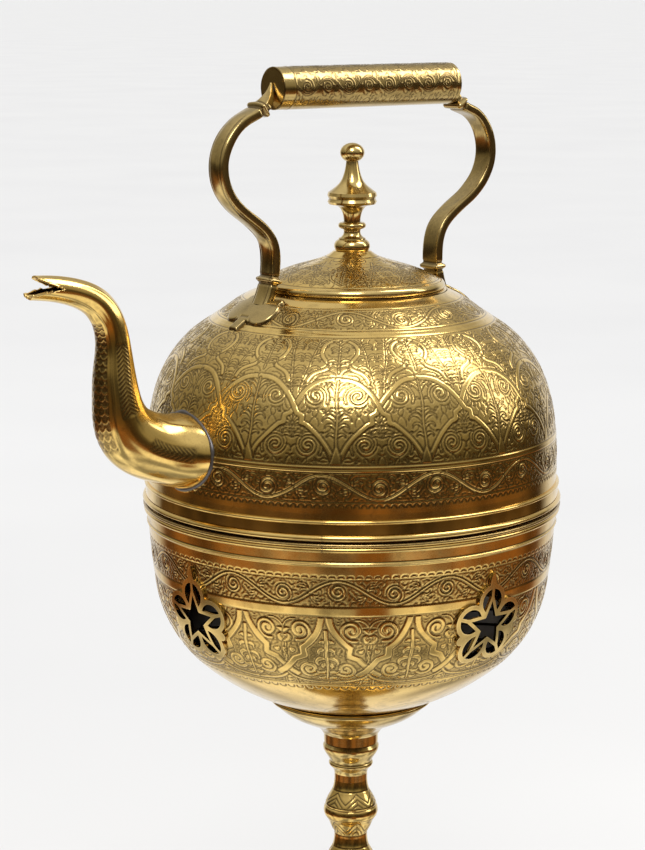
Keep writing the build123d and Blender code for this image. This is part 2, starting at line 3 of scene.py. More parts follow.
import bpy
import numpy as np
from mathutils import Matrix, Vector


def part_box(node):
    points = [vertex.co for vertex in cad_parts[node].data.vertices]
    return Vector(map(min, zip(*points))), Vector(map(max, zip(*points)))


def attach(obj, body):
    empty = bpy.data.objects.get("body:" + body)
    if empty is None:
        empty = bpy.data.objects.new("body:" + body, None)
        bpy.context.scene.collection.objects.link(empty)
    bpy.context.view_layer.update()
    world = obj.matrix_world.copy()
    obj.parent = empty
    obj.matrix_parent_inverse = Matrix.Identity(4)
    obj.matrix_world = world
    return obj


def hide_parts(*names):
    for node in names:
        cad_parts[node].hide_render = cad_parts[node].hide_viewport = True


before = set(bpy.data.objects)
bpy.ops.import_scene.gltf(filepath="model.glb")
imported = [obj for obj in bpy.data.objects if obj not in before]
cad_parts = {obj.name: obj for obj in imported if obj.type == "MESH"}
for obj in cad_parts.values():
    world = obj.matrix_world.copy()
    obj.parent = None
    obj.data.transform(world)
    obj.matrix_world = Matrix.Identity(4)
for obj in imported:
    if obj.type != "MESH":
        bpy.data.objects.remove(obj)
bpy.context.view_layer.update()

# Everything below is worked out in millimetres, with height 0 at the joint between kettle and brazier.
MM = 0.001
BEAD_R, BEAD_Z, BEAD_SIZE = 172.3, 4.65, 3.0      # the wire bead that the kettle stands on
BELT_Z = (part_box("belt_bead")[0].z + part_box("belt_bead")[1].z) / 2 - BEAD_Z * MM
TAU = 2 * math.pi


# --- meshes -------------------------------------------------------------------
def lengths(line):
    """Distance along a line at each of its points."""
    return np.concatenate([[0], np.cumsum(np.linalg.norm(np.diff(line, axis=0), axis=1))])


def unit(vectors):
    return vectors / np.linalg.norm(vectors, axis=1)[:, None]


def held(share):
    """Held between 0 and 1."""
    return np.clip(share, 0, 1)


def smoothstep(share):
    return share * share * (3 - 2 * share)


def bell(distance, width, power=2):
    """1 at no distance, falling smoothly to nothing over about twice the width."""
    return np.exp(-((distance / width) ** power))


def smooth_path(points, step):
    """Natural cubic spline through the points, read off at even steps along its length."""
    points = np.array(points, float)
    t = lengths(points)
    n, h = len(t), np.diff(t)
    system = np.eye(n)
    right = np.zeros_like(points)
    for i in range(1, n - 1):
        system[i, i - 1:i + 2] = h[i - 1], 2 * (h[i - 1] + h[i]), h[i]
        right[i] = 6 * ((points[i + 1] - points[i]) / h[i] - (points[i] - points[i - 1]) / h[i - 1])
    bend = np.linalg.solve(system, right)
    fine = np.linspace(0, t[-1], n * 60)
    k = np.clip(np.searchsorted(t, fine) - 1, 0, n - 2)
    a, b, hk = (t[k + 1] - fine)[:, None], (fine - t[k])[:, None], h[k][:, None]
    line = (
        bend[k] * a**3 / (6 * hk) + bend[k + 1] * b**3 / (6 * hk)
        + (points[k] / hk - bend[k] * hk / 6) * a + (points[k + 1] / hk - bend[k + 1] * hk / 6) * b
    )
    return even_path(line, step)


def even_path(line, step):
    """Straight runs between the points, read off at even steps along their length."""
    line = np.array(line, float)
    s = lengths(line)
    at = np.linspace(0, s[-1], max(2, int(round(s[-1] / step)) + 1))
    return np.column_stack([np.interp(at, s, line[:, i]) for i in range(line.shape[1])])


def round_angles(count):
    return np.arange(count) * TAU / count


def grid_quads(rows, cols, closed=True, first=0):
    """Faces between the points of a grid, closed round its columns, numbered from the point called first."""
    i, j = np.meshgrid(np.arange(rows - 1), np.arange(cols if closed else cols - 1), indexing="ij")
    right = (j + 1) % cols
    quads = np.stack([i * cols + j, i * cols + right, (i + 1) * cols + right, (i + 1) * cols + j], -1)
    return quads.reshape(-1, 4) + first


def put(name, data):
    """A new object with this data, linked to the scene."""
    thing = bpy.data.objects.new(name, data)
    bpy.context.scene.collection.objects.link(thing)
    return thing


def make_mesh(name, points, quads, values=None):
    """A mesh from arrays: points in millimetres above the joint, faces of four corners, patina and painted
    shade per point.
    """
    mesh = bpy.data.meshes.new(name)
    points = np.array(points, float) * MM + (0, 0, BELT_Z)
    mesh.vertices.add(len(points))
    mesh.vertices.foreach_set("co", points.astype(np.float32).ravel())
    mesh.loops.add(len(quads) * 4)
    mesh.loops.foreach_set("vertex_index", np.array(quads, np.int32).ravel())
    mesh.polygons.add(len(quads))
    mesh.polygons.foreach_set("loop_start", np.arange(0, len(quads) * 4, 4, dtype=np.int32))
    mesh.polygons.foreach_set("loop_total", np.full(len(quads), 4, np.int32))
    mesh.polygons.foreach_set("use_smooth", np.ones(len(quads), bool))
    mesh.update(calc_edges=True)
    mesh.validate()
    if values is not None:
        layer = mesh.attributes.new("patina_and_shade", "FLOAT", "POINT")
        layer.data.foreach_set("value", np.array(values, np.float32).ravel())
    return put(name, mesh)


def lathe_points(line, height, columns):
    """Points of a turned surface whose profile is pushed out square to itself by height[row, column]."""
    tangent = unit(np.gradient(line, axis=0))
    normal = np.column_stack([tangent[:, 1], -tangent[:, 0]])
    angle = round_angles(columns)
    r = line[:, :1] + normal[:, :1] * height
    z = line[:, 1:] + normal[:, 1:] * height
    return np.stack([r * np.cos(angle), r * np.sin(angle), z + 0 * angle], -1)


# --- engraving ----------------------------------------------------------------
class Engraving:
    """One repeat of a pattern, drawn in millimetres on a fine raster held in memory.

    x is measured from the repeat's middle, y upward from its lower edge. The repeat may narrow with height.
    cut is how deep each cell is engraved, land where a smooth band stands, near the distance to a stroke.
    """

    CELL = 0.4
    FAR = 50.0               # stands for a distance with no stroke near
    SPREAD = 6.0             # how far round a stroke the distance to it is kept

    def __init__(self, width, height, narrow=np.ones_like, both=True):
        self.width, self.height, self.narrow, self.both = width, height, narrow, both
        self.cols, self.rows = int(width / self.CELL), int(height / self.CELL) + 1
        u = (np.arange(self.cols) + 0.5) * width / self.cols - width / 2
        v = np.linspace(0, height, self.rows)
        self.y = np.repeat(v[:, None], self.cols, 1)
        self.x = u[None, :] * narrow(v)[:, None]
        self.cut = np.zeros_like(self.x)
        self.land = np.zeros_like(self.x)
        self.near = np.full_like(self.x, self.FAR)

    def copies(self, points, both=None):
        """The stroke, its mirror image where both are wanted, and the same in the repeats next door."""
        points = np.array(points, float)
        mirrored = points * (-1, 1)
        for line in (points, mirrored) if (self.both if both is None else both) else (points,):
            for k in (-1, 0, 1):
                shift = k * self.width * self.narrow(line[:, 1])
                yield np.column_stack([line[:, 0] + shift, line[:, 1]])

    def reach(self, line, half=0.0):
        """Window of the raster near a line, with each cell's distance past the line's half width."""
        pad = self.SPREAD + float(np.max(half))
        low, high = line.min(0) - pad, line.max(0) + pad
        half_span = self.width / 2 * self.narrow(np.array([0.0, self.height])).max()
        if low[0] > half_span or high[0] < -half_span or low[1] > self.height or high[1] < 0:
            return None
        pitch = self.height / (self.rows - 1)
        rows = slice(max(0, int(low[1] / pitch)), min(self.rows, int(high[1] / pitch) + 2))
        inside = (self.x[rows] > low[0]) & (self.x[rows] < high[0])
        used = np.flatnonzero(inside.any(0))
        if not len(used):
            return None
        window = (rows, slice(used[0], used[-1] + 1))
        x, y = self.x[window], self.y[window]
        half = np.broadcast_to(half, len(line))
        best = np.full(x.shape, self.FAR)
        for (x0, y0), (x1, y1), h0, h1 in zip(line[:-1], line[1:], half[:-1], half[1:]):
            dx, dy = x1 - x0, y1 - y0
            t = held(((x - x0) * dx + (y - y0) * dy) / (dx * dx + dy * dy + 1e-9))
            best = np.minimum(best, np.hypot(x - x0 - t * dx, y - y0 - t * dy) - (h0 + (h1 - h0) * t))
        return window, best

    def carve(self, window, d, half, depth=1.0):
        """Engraves a line with rounded sides where the distance d is near 0."""
        shape = smoothstep(held(1.15 - np.abs(d) / half))
        self.cut[window] = np.maximum(self.cut[window], depth * shape)
        self.near[window] = np.minimum(self.near[window], d)

    def groove(self, points, half=0.6, depth=1.0):
        """A single engraved stroke."""
        for line in self.copies(points):
            found = self.reach(line)
            if found:
                self.carve(*found, half, depth)

    def ribbon(self, points, half, edge=0.55, both=None):
        """A smooth band left standing between two engraved edges."""
        for line in self.copies(points, both):
            found = self.reach(line, half)
            if found:
                window, d = found
                inner = held(-d / 0.4)
                self.cut[window] *= 1 - inner
                self.land[window] = np.maximum(self.land[window], inner)
                self.carve(window, d, edge)

    def fill(self, rng, tries, size, clear, bends=(60, 190)):
        """Small curls wherever the drawing has left room for one."""
        for _ in range(tries):
            row, col = rng.integers(0, self.rows), rng.integers(0, self.cols)
            turn = rng.uniform(0, 360)
            bend = rng.choice([-1, 1]) * rng.uniform(*bends)
            length = rng.uniform(0.8, 1.4)
            if self.near[row, col] > clear:
                curl = frond(self.x[row, col], self.y[row, col], turn, size * length, bend)
                centre = curl.mean(0) - (self.x[row, col], self.y[row, col])
                self.groove(curl - centre, half=0.45, depth=0.8)

    def sample(self, field, x, y):
        """Bilinear reading of a field at fractions x of the repeat and heights y."""
        u = (x % 1.0) * self.cols - 0.5
        v = held(y / self.height) * (self.rows - 1)
        u0, v0 = np.floor(u).astype(int), np.minimum(v.astype(int), self.rows - 2)
        fu, fv = u - u0, v - v0
        a, b = field[v0, u0 % self.cols], field[v0, (u0 + 1) % self.cols]
        c, d = field[v0 + 1, u0 % self.cols], field[v0 + 1, (u0 + 1) % self.cols]
        return (a * (1 - fu) + b * fu) * (1 - fv) + (c * (1 - fu) + d * fu) * fv


def spiral(cx, cy, radius, turns, start, way, inner):
    """A curl round (cx, cy), from an angle in degrees inward to the inner radius."""
    n = int(14 * turns) + 4
    t = np.linspace(0, 1, n)
    angle = math.radians(start) + way * TAU * turns * t
    r = radius + (inner - radius) * t**0.85
    return np.column_stack([cx + r * np.cos(angle), cy + r * np.sin(angle)])


def frond(x, y, angle, length, bend, n=9):
    """A stroke that leaves at an angle and curls more tightly toward its tip."""
    t = np.linspace(0, 1, n)
    heading = np.radians(angle + bend * t**1.5)
    step = length / (n - 1)
    line = np.column_stack([np.cos(heading), np.sin(heading)]) * step
    return np.array([x, y]) + np.vstack([[0, 0], np.cumsum(line[:-1], axis=0)])


def curve(*points, step=1.2):
    return smooth_path(points, step)


def leaf(art, x, y, turn, size, bend, broad, both=None):
    """A stroke that swells and then tapers to its curled tip."""
    line = frond(x, y, turn, size, bend, n=12)
    width = np.interp(np.linspace(0, 1, len(line)), [0, 0.35, 1], [0.45 * broad, broad, 0.3 * broad])
    art.ribbon(line, width, edge=0.5, both=both)


def tree(art, x, y0, y1, pairs, reach, both=False):
    """An upright stem with pairs of fronds that curl outward and a leaf at its tip."""
    art.ribbon([(x, y0), (x, y1)], 0.8, edge=0.5, both=both)
    for k in range(pairs):
        y = y0 + (y1 - y0) * (k + 0.6) / pairs
        size = reach * (1 - 0.25 * k / (pairs - 1))
        for side in (-1, 1):
            lean = 90 - side * 38
            leaf(art, x + side * 0.7, y, lean, size, -side * 200, 1.1, both)
            leaf(art, x + side * 0.7, y - 3.4, lean - side * 14, size * 0.65, -side * 120, 1.0, both)
    for side in (-1, 0, 1):
        leaf(art, x, y1 - 0.5, 90 - side * 32, reach * 0.6, -side * 50, 1.1, both)


def wobble(angle, s, seed, size, wave):
    """Slow random swell over a turned surface, the same round each full turn."""
    rng = np.random.default_rng(seed)
    total = 0.0
    for k in range(9):
        around = rng.integers(1, 14)
        total = total + rng.uniform(0.4, 1.0) * np.sin(
            around * angle + s / wave * rng.uniform(0.6, 1.6) * TAU + rng.uniform(0, TAU)
        )
    return total * size / 3.0


def lid_art(width, height, narrow, rng):
    """Tall pointed leaf with spirals at its foot. y runs inward."""
    art = Engraving(width, height, narrow)
    pair = width / 2
    art.ribbon(curve((0.0, 4.0), (9.5, 14.0), (8.0, 26.0), (0.0, 44.0)), 1.0, edge=0.5)
    tree(art, 0.0, 6.0, 34.0, 3, 7.5)
    art.ribbon(spiral(16.0, 8.5, 6.2, 1.7, 200, -1, inner=1.4), 0.9, edge=0.5)
    art.ribbon(spiral(15.0, 22.0, 4.6, 1.4, 200, -1, inner=1.4), 0.8, edge=0.5)
    tree(art, pair, 2.0, 34.0, 3, 7.0, both=True)
    art.fill(rng, 160, 7.0, 3.2, bends=(50, 120))
    return art


def grip_art(width, height, rng):
    """Arabesque for the hand grip: alternating spirals and fans either side of a wavy stem."""
    art = Engraving(width, height, both=False)
    x = np.linspace(-width / 2, width / 2, 41)
    for row, way in ((0.2, 1), (0.5, -1), (0.8, 1)):
        middle = height * row
        stem = np.column_stack([x, middle + 7.0 * way * np.sin(x * TAU / width)])
        art.ribbon(stem, 0.7, edge=0.6)
        for side in (-1, 1):
            curl = spiral(side * width / 4, middle, 6.4, 2.2, -90 * side * way, way, inner=0.9)
            art.groove(curl, half=0.65)
            art.groove(frond(0.0, middle + side * 2.0, 90 - side * 40, 8.0, -side * 150))
            art.groove(frond(width / 2, middle + side * 2.0, 90 + side * 40, 8.0, side * 150))
    art.fill(rng, 400, 4.5, 1.9)
    return art


def chevron_art(width, height):
    """Nested chevrons with a short stroke between them."""
    art = Engraving(width, height, both=False)
    half = width / 2
    for lift in (-0.32, 0.0, 0.34):
        foot, tip = height * (lift - 0.1), height * (lift + 0.62)
        art.groove([(-half, foot), (0, tip), (half, foot)])
    art.groove([(0, height * 0.2), (0, height * 0.5)], half=0.5, depth=0.7)
    return art


class Turned:
    """A turned brass surface with engraved zones, built row by row along its profile."""

    def __init__(self, line, columns, seed):
        self.line, self.columns = line, columns
        self.s = lengths(line)[:, None]
        self.angle = round_angles(columns)[None, :]
        self.height = wobble(self.angle, self.s, seed, 0.045, 60.0)
        self.patina_and_shade = np.full((len(line), columns), 0.06)
        self.hand_x = wobble(self.angle, self.s, seed + 1, 0.004, 45.0)
        self.hand_y = wobble(self.angle, self.s, seed + 2, 0.35, 50.0)

    def length_at(self, z):
        order = np.argsort(self.line[:, 1])
        return float(np.interp(z, self.line[order, 1], self.s[order, 0]))

    def taper(self, s0, s1, samples=50):
        """Radius at s0, and the function that gives the radius between s0 and s1 as a share of it."""
        radius = np.interp(np.linspace(s0, s1, samples), self.s[:, 0], self.line[:, 0])
        return radius[0], lambda y: np.interp(y, np.linspace(0, abs(s1 - s0), samples), radius / radius[0])

    def zone(self, art, s0, s1, count, phase, depth=0.42, ground=0.1, grime=0.35, flip=False):
        """Lays count repeats of a pattern between two lengths along the profile."""
        rows = np.flatnonzero((self.s[:, 0] >= s0) & (self.s[:, 0] <= s1))
        y = (self.s[rows] - s0) * art.height / (s1 - s0) + self.hand_y[rows]
        if flip:
            y = art.height - y
        x = (self.angle - math.radians(phase)) * count / TAU + 0.5 + self.hand_x[rows] * count / TAU
        cut = art.sample(art.cut, x, y)
        land = art.sample(art.land, x, y)
        edge = held(np.minimum(self.s[rows] - s0, s1 - self.s[rows]) / 0.8)
        floor = (1 - land) * edge
        self.height[rows] -= cut * depth * edge + floor * ground
        self.patina_and_shade[rows] = np.maximum(self.patina_and_shade[rows], held(0.95 * cut * edge + floor * grime))

    def band(self, draw, radius, height, z0, z1, count, phase, *extra, **finish):
        """Draws a pattern that fits count times round a radius and lays it between two heights."""
        art = draw(TAU * radius / count, height, *extra)
        self.zone(art, self.length_at(z0), self.length_at(z1), count, phase, **finish)

    def ring(self, at, half, depth):
        """A groove (depth above 0) or a raised bead (below 0) right round the surface."""
        shape = smoothstep(held(1 - np.abs(self.s - at) / half))
        self.height -= depth * shape
        if depth > 0:
            self.patina_and_shade = np.maximum(self.patina_and_shade, 0.7 * shape)

    def points(self):
        return lathe_points(self.line, self.height, self.columns).reshape(-1, 3)

    def lined(self, inner_line, columns, dark):
        """Points, faces and patina of the surface and of the plain inner side of its sheet."""
        inner = lathe_points(inner_line, 0.0, columns).reshape(-1, 3)
        quads = [grid_quads(*self.height.shape), grid_quads(len(inner_line), columns, first=self.height.size)]
        patina_and_shade = np.concatenate([self.patina_and_shade.ravel(), np.full(len(inner), dark)])
        return np.vstack([self.points(), inner]), np.vstack(quads), patina_and_shade


def scroll_art(width, height, rng):
    """Wavy stem with a spiral in each bend and fans of leaves between."""
    art = Engraving(width, height, both=False)
    middle, swing, quarter = height / 2, height / 2 - 1.3, width / 4
    x = np.linspace(-width / 2, width / 2, 49)
    for side in (-1, 1):
        line = spiral(side * quarter, middle - side * 0.9, swing - 1.2, 1.9, -side * 90, 1, inner=1.7)
        art.ribbon(line, np.linspace(0.9, 1.45, len(line)))
        for centre, lean in ((0.0, 0), (width / 2, 1)):
            for turn, size, bend in ((84, 9.0, -70), (62, 9.5, -110), (38, 8.0, -150), (100, 5.0, -40)):
                heading = (180 - turn if lean else turn) + (0 if side > 0 else 180)
                curl = -bend if lean else bend
                foot = (centre + (1.5 - 3 * lean) * side, middle + 1.5 * side)
                leaf(art, *foot, heading, size, curl, 1.15)
    stem = np.column_stack([x, middle - swing * np.sin(x * TAU / width)])
    art.ribbon(stem, 1.2, edge=0.6)
    art.fill(rng, 400, 5.0, 1.7)
    return art


def dome_art(width, height, narrow, rng):
    """Interlaced arches rising from leaf-shaped feet, with trees, spirals and round medallions."""
    art = Engraving(width, height, narrow)
    pair = width / 2
    for cx, cy, r, turns, start in ((22.4, 14.2, 11.8, 1.9, 215), (16.4, 53.0, 10.6, 1.8, 215)):
        line = spiral(cx, cy, r, turns, start, -1, inner=1.7)
        art.ribbon(line, np.linspace(0.9, 1.5, len(line)))
        for degrees in range(40, 301, 52):
            a = math.radians(degrees)
            foot = (cx + (r + 0.9) * math.cos(a), cy + (r + 0.9) * math.sin(a))
            leaf(art, *foot, degrees - 60, 4.4, 150, 0.8)
    for y, size in ((20.0, 9.0), (26.5, 12.0), (32.0, 15.0), (36.5, 11.5), (40.0, 7.0)):
        leaf(art, 0.9, y, 64, size, -165, 1.2)
    for y, size in ((62.0, 7.5), (59.5, 11.0), (56.0, 13.0)):
        leaf(art, 1.0, y, 70, size, -120, 1.2)
    tree(art, pair, 21.0, 33.0, 2, 13.0, both=True)
    tree(art, pair, 56.0, 104.0, 4, 15.0, both=True)
    arch = curve((1.6, 0.0), (6.4, 10.5), (12.4, 19.5), (18.8, 26.4), (23.5, 30.5), step=1.0)
    shoulder = np.array([(27.2, 31.8), (27.2, 37.4), (31.4, 39.4)])
    apex = width * float(narrow(np.array([66.0]))[0])
    over = curve((31.4, 39.4), (34.4, 46.0), (38.2, 53.4), (43.4, 60.0), (50.0, 65.2), (apex, 67.6),
                 step=1.0)
    art.ribbon(np.vstack([arch, shoulder, over[1:]]), 2.2, edge=0.5)
    angles = [math.radians(a) for a in range(26, 181, 14)]
    medallion = curve(*[(14.0 * math.sin(a), 93.5 - 13.4 * math.cos(a)) for a in angles])
    art.ribbon(medallion, 1.7, edge=0.5)
    art.ribbon(curve((6.4, 81.6), (9.4, 77.6), (15.0, 74.6), (20.5, 71.0), (24.0, 65.0)), 1.7, edge=0.5)
    tree(art, 0.0, 74.0, 101.0, 2, 13.0)
    stem = curve((0.0, 0.0), (0.0, 24.0), (0.0, 66.0), step=1.0)
    art.ribbon(stem, np.interp(stem[:, 1], [0, 5, 13, 66], [4.6, 3.6, 1.1, 0.8]), edge=0.65, both=False)
    art.fill(rng, 700, 8.0, 2.4, bends=(50, 130))
    return art


def bowl_art(width, height, narrow, rng):
    """Ogival arches closed by arcs, with spirals, buds and fronds on a pricked ground. y runs downward."""
    art = Engraving(width, height, narrow)
    pair = width / 2
    for cx, cy, r, turns, start, way in ((20.6, 11.6, 9.6, 1.9, 70, 1), (14.2, 48.6, 8.8, 1.7, 160, -1)):
        line = spiral(cx, cy, r, turns, start, way, inner=1.3)
        art.ribbon(line, np.linspace(1.6, 2.2, len(line)))
    art.ribbon(curve((pair, 12.0), (32.6, 5.6), (28.0, 2.6), (23.6, 2.2)), 1.0, edge=0.5)
    art.ribbon([(pair, 10.0), (pair, 27.0)], 1.0, edge=0.5)
    for x, y, turn, size, bend in (
        (pair - 0.8, 17.0, 190, 9.0, -160), (pair - 0.8, 22.5, 200, 10.5, 170), (pair, 29.0, 128, 6.5, -50),
        (pair - 0.8, 14.0, 235, 6.5, -80), (1.0, 50.0, 40, 9.0, -120), (0.8, 37.5, 350, 13.5, 175),
        (0.8, 29.0, 345, 9.0, 160), (0.8, 43.0, 10, 6.0, 150), (0.8, 22.5, 320, 6.0, 120),
        (0.8, 57.5, 30, 7.0, -90), (pair - 0.6, 62.5, 232, 7.0, -80), (pair - 0.6, 64.5, 205, 6.0, -60),
        (25.5, 30.0, 20, 5.0, -150),
    ):
        leaf(art, x, y, turn, size, bend, 2.3)
    art.ribbon(curve((pair, 31.0), (pair - 2.6, 36.0), (pair - 1.8, 40.5), (pair, 45.0)), 0.9, edge=0.5)
    art.ribbon([(0.0, 12.0), (0.0, 60.0)], [1.9, 1.0], edge=0.5, both=False)
    art.ribbon([(pair, 58.0), (pair, 67.0)], 0.9, edge=0.5)
    art.ribbon(curve((pair - 1.0, 52.0), (27.0, 58.6), (14.0, 63.2), (0.0, 64.4)), 1.4, edge=0.6)
    leg = curve((2.9, -3.0), (3.6, 4.0), (8.6, 15.5), (15.6, 24.0), (19.0, 27.0), step=1.0)
    corner = np.array([(19.0, 27.0), (17.8, 34.6), (25.6, 38.2), (29.4, 44.0)])
    tail = curve((29.4, 44.0), (pair - 1.2, 49.8), (pair + 4.0, 54.6), step=1.0)
    art.ribbon(np.vstack([leg, corner[1:], tail[1:]]), 3.0, edge=0.6)
    art.fill(rng, 900, 4.5, 1.9)
    return art


def half_round(half, height, foot, n):
    """Upper half of an oval over x = 0 that stands on a share of the height."""
    turn = np.linspace(-1.57, 1.57, n)
    return np.column_stack([half * np.sin(turn), height * (foot + 0.6 * np.cos(turn))])


def petal_art(width, height):
    """Row of faint broad petals."""
    art = Engraving(width, height, both=False)
    art.groove(half_round(0.5 * width, height, 0.25, 21), half=0.45, depth=0.55)
    return art


def scallop_art(width, height):
    """Small punched scallops in a row."""
    art = Engraving(width, height, both=False)
    art.groove(half_round(0.36 * width, height, 0.2, 9), half=0.55)
    return art


COLUMNS = 1440               # points round the dome and the bowl
PITCH = 0.75                 # spacing of their rows
SHEET = 1.6                  # thickness of their sheet
FINE = 0.3                   # spacing of a spline that is read off again later
VIEW_ANGLE = 233.0           # azimuth that faces the photograph's viewpoint
PLAIN = {"ground": 0.0, "grime": 0.0}
rng = np.random.default_rng(7)

BODY = [(171.4, 24), (171.6, 42), (170.6, 60), (167.4, 82.5), (160.2, 106), (147.2, 128), (130, 145.2),
        (112, 157), (94, 169.5), (79, 176.6)]
BODY_R, BODY_Z = np.array(BODY, float).T
BOWL = [(170.8, -17), (169.2, -36), (166.6, -60), (162.6, -82), (154.6, -102.5), (139.5, -124.5),
        (119, -142.5), (92, -159.5), (66, -171)]


def kettle_dome():
    line = even_path(np.vstack([[(171.4, 7.7)], smooth_path(BODY, FINE)]), PITCH)
    dome = Turned(line, COLUMNS, 11)
    s = dome.length_at
    low, top = 62.5, 152.4
    radius, narrow = dome.taper(s(low), s(top))
    dome.band(dome_art, radius, s(top) - s(low), low, top, 15, VIEW_ANGLE - 4.1, narrow, rng,
              depth=0.4, ground=0.15, grime=0.24)
    dome.band(scroll_art, 171.5, 21.5, 34.2, 55.5, 12, VIEW_ANGLE, rng, depth=0.46, ground=0.18, grime=0.22)
    dome.band(scroll_art, 102, 21.0, 158.4, 170.8, 7, VIEW_ANGLE + 10, rng, depth=0.34, grime=0.34)
    dome.band(scallop_art, 171.5, 4.0, 28.6, 32.6, 180, 0, depth=0.35, **PLAIN)
    for z in (33.6, 56.2, 61.9, 153.0, 157.6, 171.4):
        dome.ring(s(z), 0.9, 0.4)
    for z in (57.6, 60.4, 154.4, 156.4):
        dome.ring(s(z), 1.0, -0.18)
    across = line[:, :1] * np.sin(dome.angle)
    oval = np.hypot(across / 39.4, (line[:, 1:] - 60.0) / 30.6)   # 1 where the spout's root meets the shell
    seam = held(1.25 - np.abs(oval - 1.0) * 34 / 2.2) * (np.cos(dome.angle) < 0)
    dome.patina_and_shade = np.maximum(dome.patina_and_shade, 0.95 * seam)
    dome.height += 0.5 * seam
    inside = even_path(line[::6][::-1] - (SHEET, 0), 4.0)
    return make_mesh("engraved_kettle_dome", *dome.lined(inside, 240, 0.6))


VENT_TURN, VENT_Z = 4.4, -77.0
VENT_R, LOBE_OUT, LOBE_R = 24.0, 21.0, 14.0


def vent_distance(points):
    """How far points lie outside the lobed outline of the nearest vent; below 0 is inside it."""
    best = np.full(len(points), 99.0)
    for k in range(4):
        a = math.radians(VENT_TURN + 90 * k)
        out = points[:, 0] * math.cos(a) + points[:, 1] * math.sin(a)
        x = -points[:, 0] * math.sin(a) + points[:, 1] * math.cos(a)
        y = points[:, 2] - VENT_Z
        d = np.hypot(x, y) - VENT_R
        for lobe in range(5):
            b = math.radians(90 + 72 * lobe)
            d = np.minimum(d, np.hypot(x - LOBE_OUT * math.cos(b), y - LOBE_OUT * math.sin(b)) - LOBE_R)
        best = np.where(out > 0, np.minimum(best, d), best)
    return best


def brazier_bowl():
    mouth = [(171.6, -6.4), (170.9, -14.4), (172.2, -15.6)]
    foot = smooth_path([(66, -171), (56, -175.6), (44, -178)], FINE)
    line = even_path(np.vstack([mouth, smooth_path(BOWL, FINE), foot[1:]]), PITCH)[::-1]
    bowl = Turned(line, COLUMNS, 21)
    s = bowl.length_at
    low, top = -120.8, -59.2
    radius, narrow = bowl.taper(s(top), s(low))
    bowl.band(bowl_art, radius, s(top) - s(low), low, top, 15, VIEW_ANGLE - 6.9, narrow, rng,
              depth=0.34, ground=0.24, grime=0.4, flip=True)
    bowl.band(scroll_art, 169, 21.5, -50.0, -28.6, 12, VIEW_ANGLE + 4, rng,
              depth=0.45, ground=0.2, grime=0.34)
    bowl.band(scallop_art, 170, 4.0, -28.0, -24.4, 150, 0, depth=0.4, **PLAIN)
    bowl.band(scallop_art, 138, 4.5, -127.0, -123.2, 120, 0, depth=0.4, flip=True, **PLAIN)
    bowl.band(petal_art, 90, 26.0, -166.0, -146.0, 13, VIEW_ANGLE, depth=0.25, **PLAIN)
    for z in (-28.3, -50.4, -58.9, -121.4):
        bowl.ring(s(z), 0.9, 0.4)
    inside = even_path(line[::4][::-1] - (SHEET, -0.4), 1.6)
    points, quads, patina_and_shade = bowl.lined(inside, 720, 1.0)
    patina_and_shade = np.maximum(patina_and_shade, 0.75 * held(1 - np.maximum(vent_distance(points), 0) / 3.5))
    quads = quads[vent_distance(points[quads].mean(1)) > -3.2]
    return make_mesh("engraved_brazier_bowl", points, quads, patina_and_shade)


LID_FOOT, LID_CROWN = 184.6, 208.6


def lid_dome():
    ogee = [(73.4, LID_FOOT), (66, LID_FOOT + 4), (54, LID_FOOT + 9.2), (40, LID_FOOT + 13.6),
            (27, LID_FOOT + 17.6), (18.6, LID_CROWN - 2.4), (15.4, LID_CROWN)]
    line = even_path(np.vstack([smooth_path(ogee, FINE), [(13.0, LID_CROWN)]]), 0.6)
    lid = Turned(line, 720, 31)
    leaves, start, end = 9, 3.0, 54.0
    radius, narrow = lid.taper(start, end, samples=40)
    lid.zone(lid_art(TAU * radius / leaves, end - start, narrow, rng), start, end, leaves, VIEW_ANGLE - 8,
             depth=0.26, ground=0.04, grime=0.0)
    for at in (start - 0.6, end + 1.0):
        lid.ring(at, 0.9, 0.3)
    inside = even_path(line[::-1] - (0.3, 1.15), 4.0)
    return make_mesh("engraved_lid", *lid.lined(inside, 120, 0.5))


GRIP_Z, GRIP_R, GRIP_ENDS = 343.0, 17.2, (-79.5, 102.0)


def handle_grip():
    """Rolled tube whose engraving wraps over the top; its underside is left plain."""
    low, high = GRIP_ENDS
    edge = [(-1.2, 3.0), (-1.2, 0.5), (-0.6, 0.0), (0.0, 0.6)]      # outward and along, from the tube's end
    first = [(GRIP_R + out, low + along) for out, along in edge]
    last = [(GRIP_R + out, high - along) for out, along in edge[::-1]]
    tube = even_path([(GRIP_R, low + 0.9), (GRIP_R, high - 0.9)], 0.6)
    line = np.vstack([even_path(first, 0.5), tube, even_path(last, 0.5)])[::-1]
    grip = Turned(line, 192, 41)
    grip.height *= 0.8
    repeats, reach = 4, 84.0
    start, end = low + 12.0, high - 5.0
    art = grip_art((end - start) / repeats, reach, rng)
    at = line[:, 1:]
    over = (grip.angle - TAU / 2) * GRIP_R + reach / 2 + 0 * at
    along = (at - start) / (end - start) * repeats + 0.5 + 0 * over
    inside = held(np.minimum(at - start, end - at)) * held(np.minimum(over, reach - over))
    cut = art.sample(art.cut, along, over) * inside
    land = art.sample(art.land, along, over) * inside
    grip.height -= 0.26 * cut
    grip.patina_and_shade = held(grip.patina_and_shade + 0.85 * cut + 0.18 * (inside - land * inside))
    for border in (start - 0.6, end + 0.6):
        shape = held(1 - np.abs(at - border) / 0.8)
        grip.height -= 0.25 * shape
        grip.patina_and_shade = np.maximum(grip.patina_and_shade, 0.7 * shape)
    radial = grip.points()
    points = np.column_stack([radial[:, 2], radial[:, 1], -radial[:, 0]]) + (0, 0, GRIP_Z)
    return make_mesh("engraved_grip", points, grid_quads(*grip.height.shape), grip.patina_and_shade)


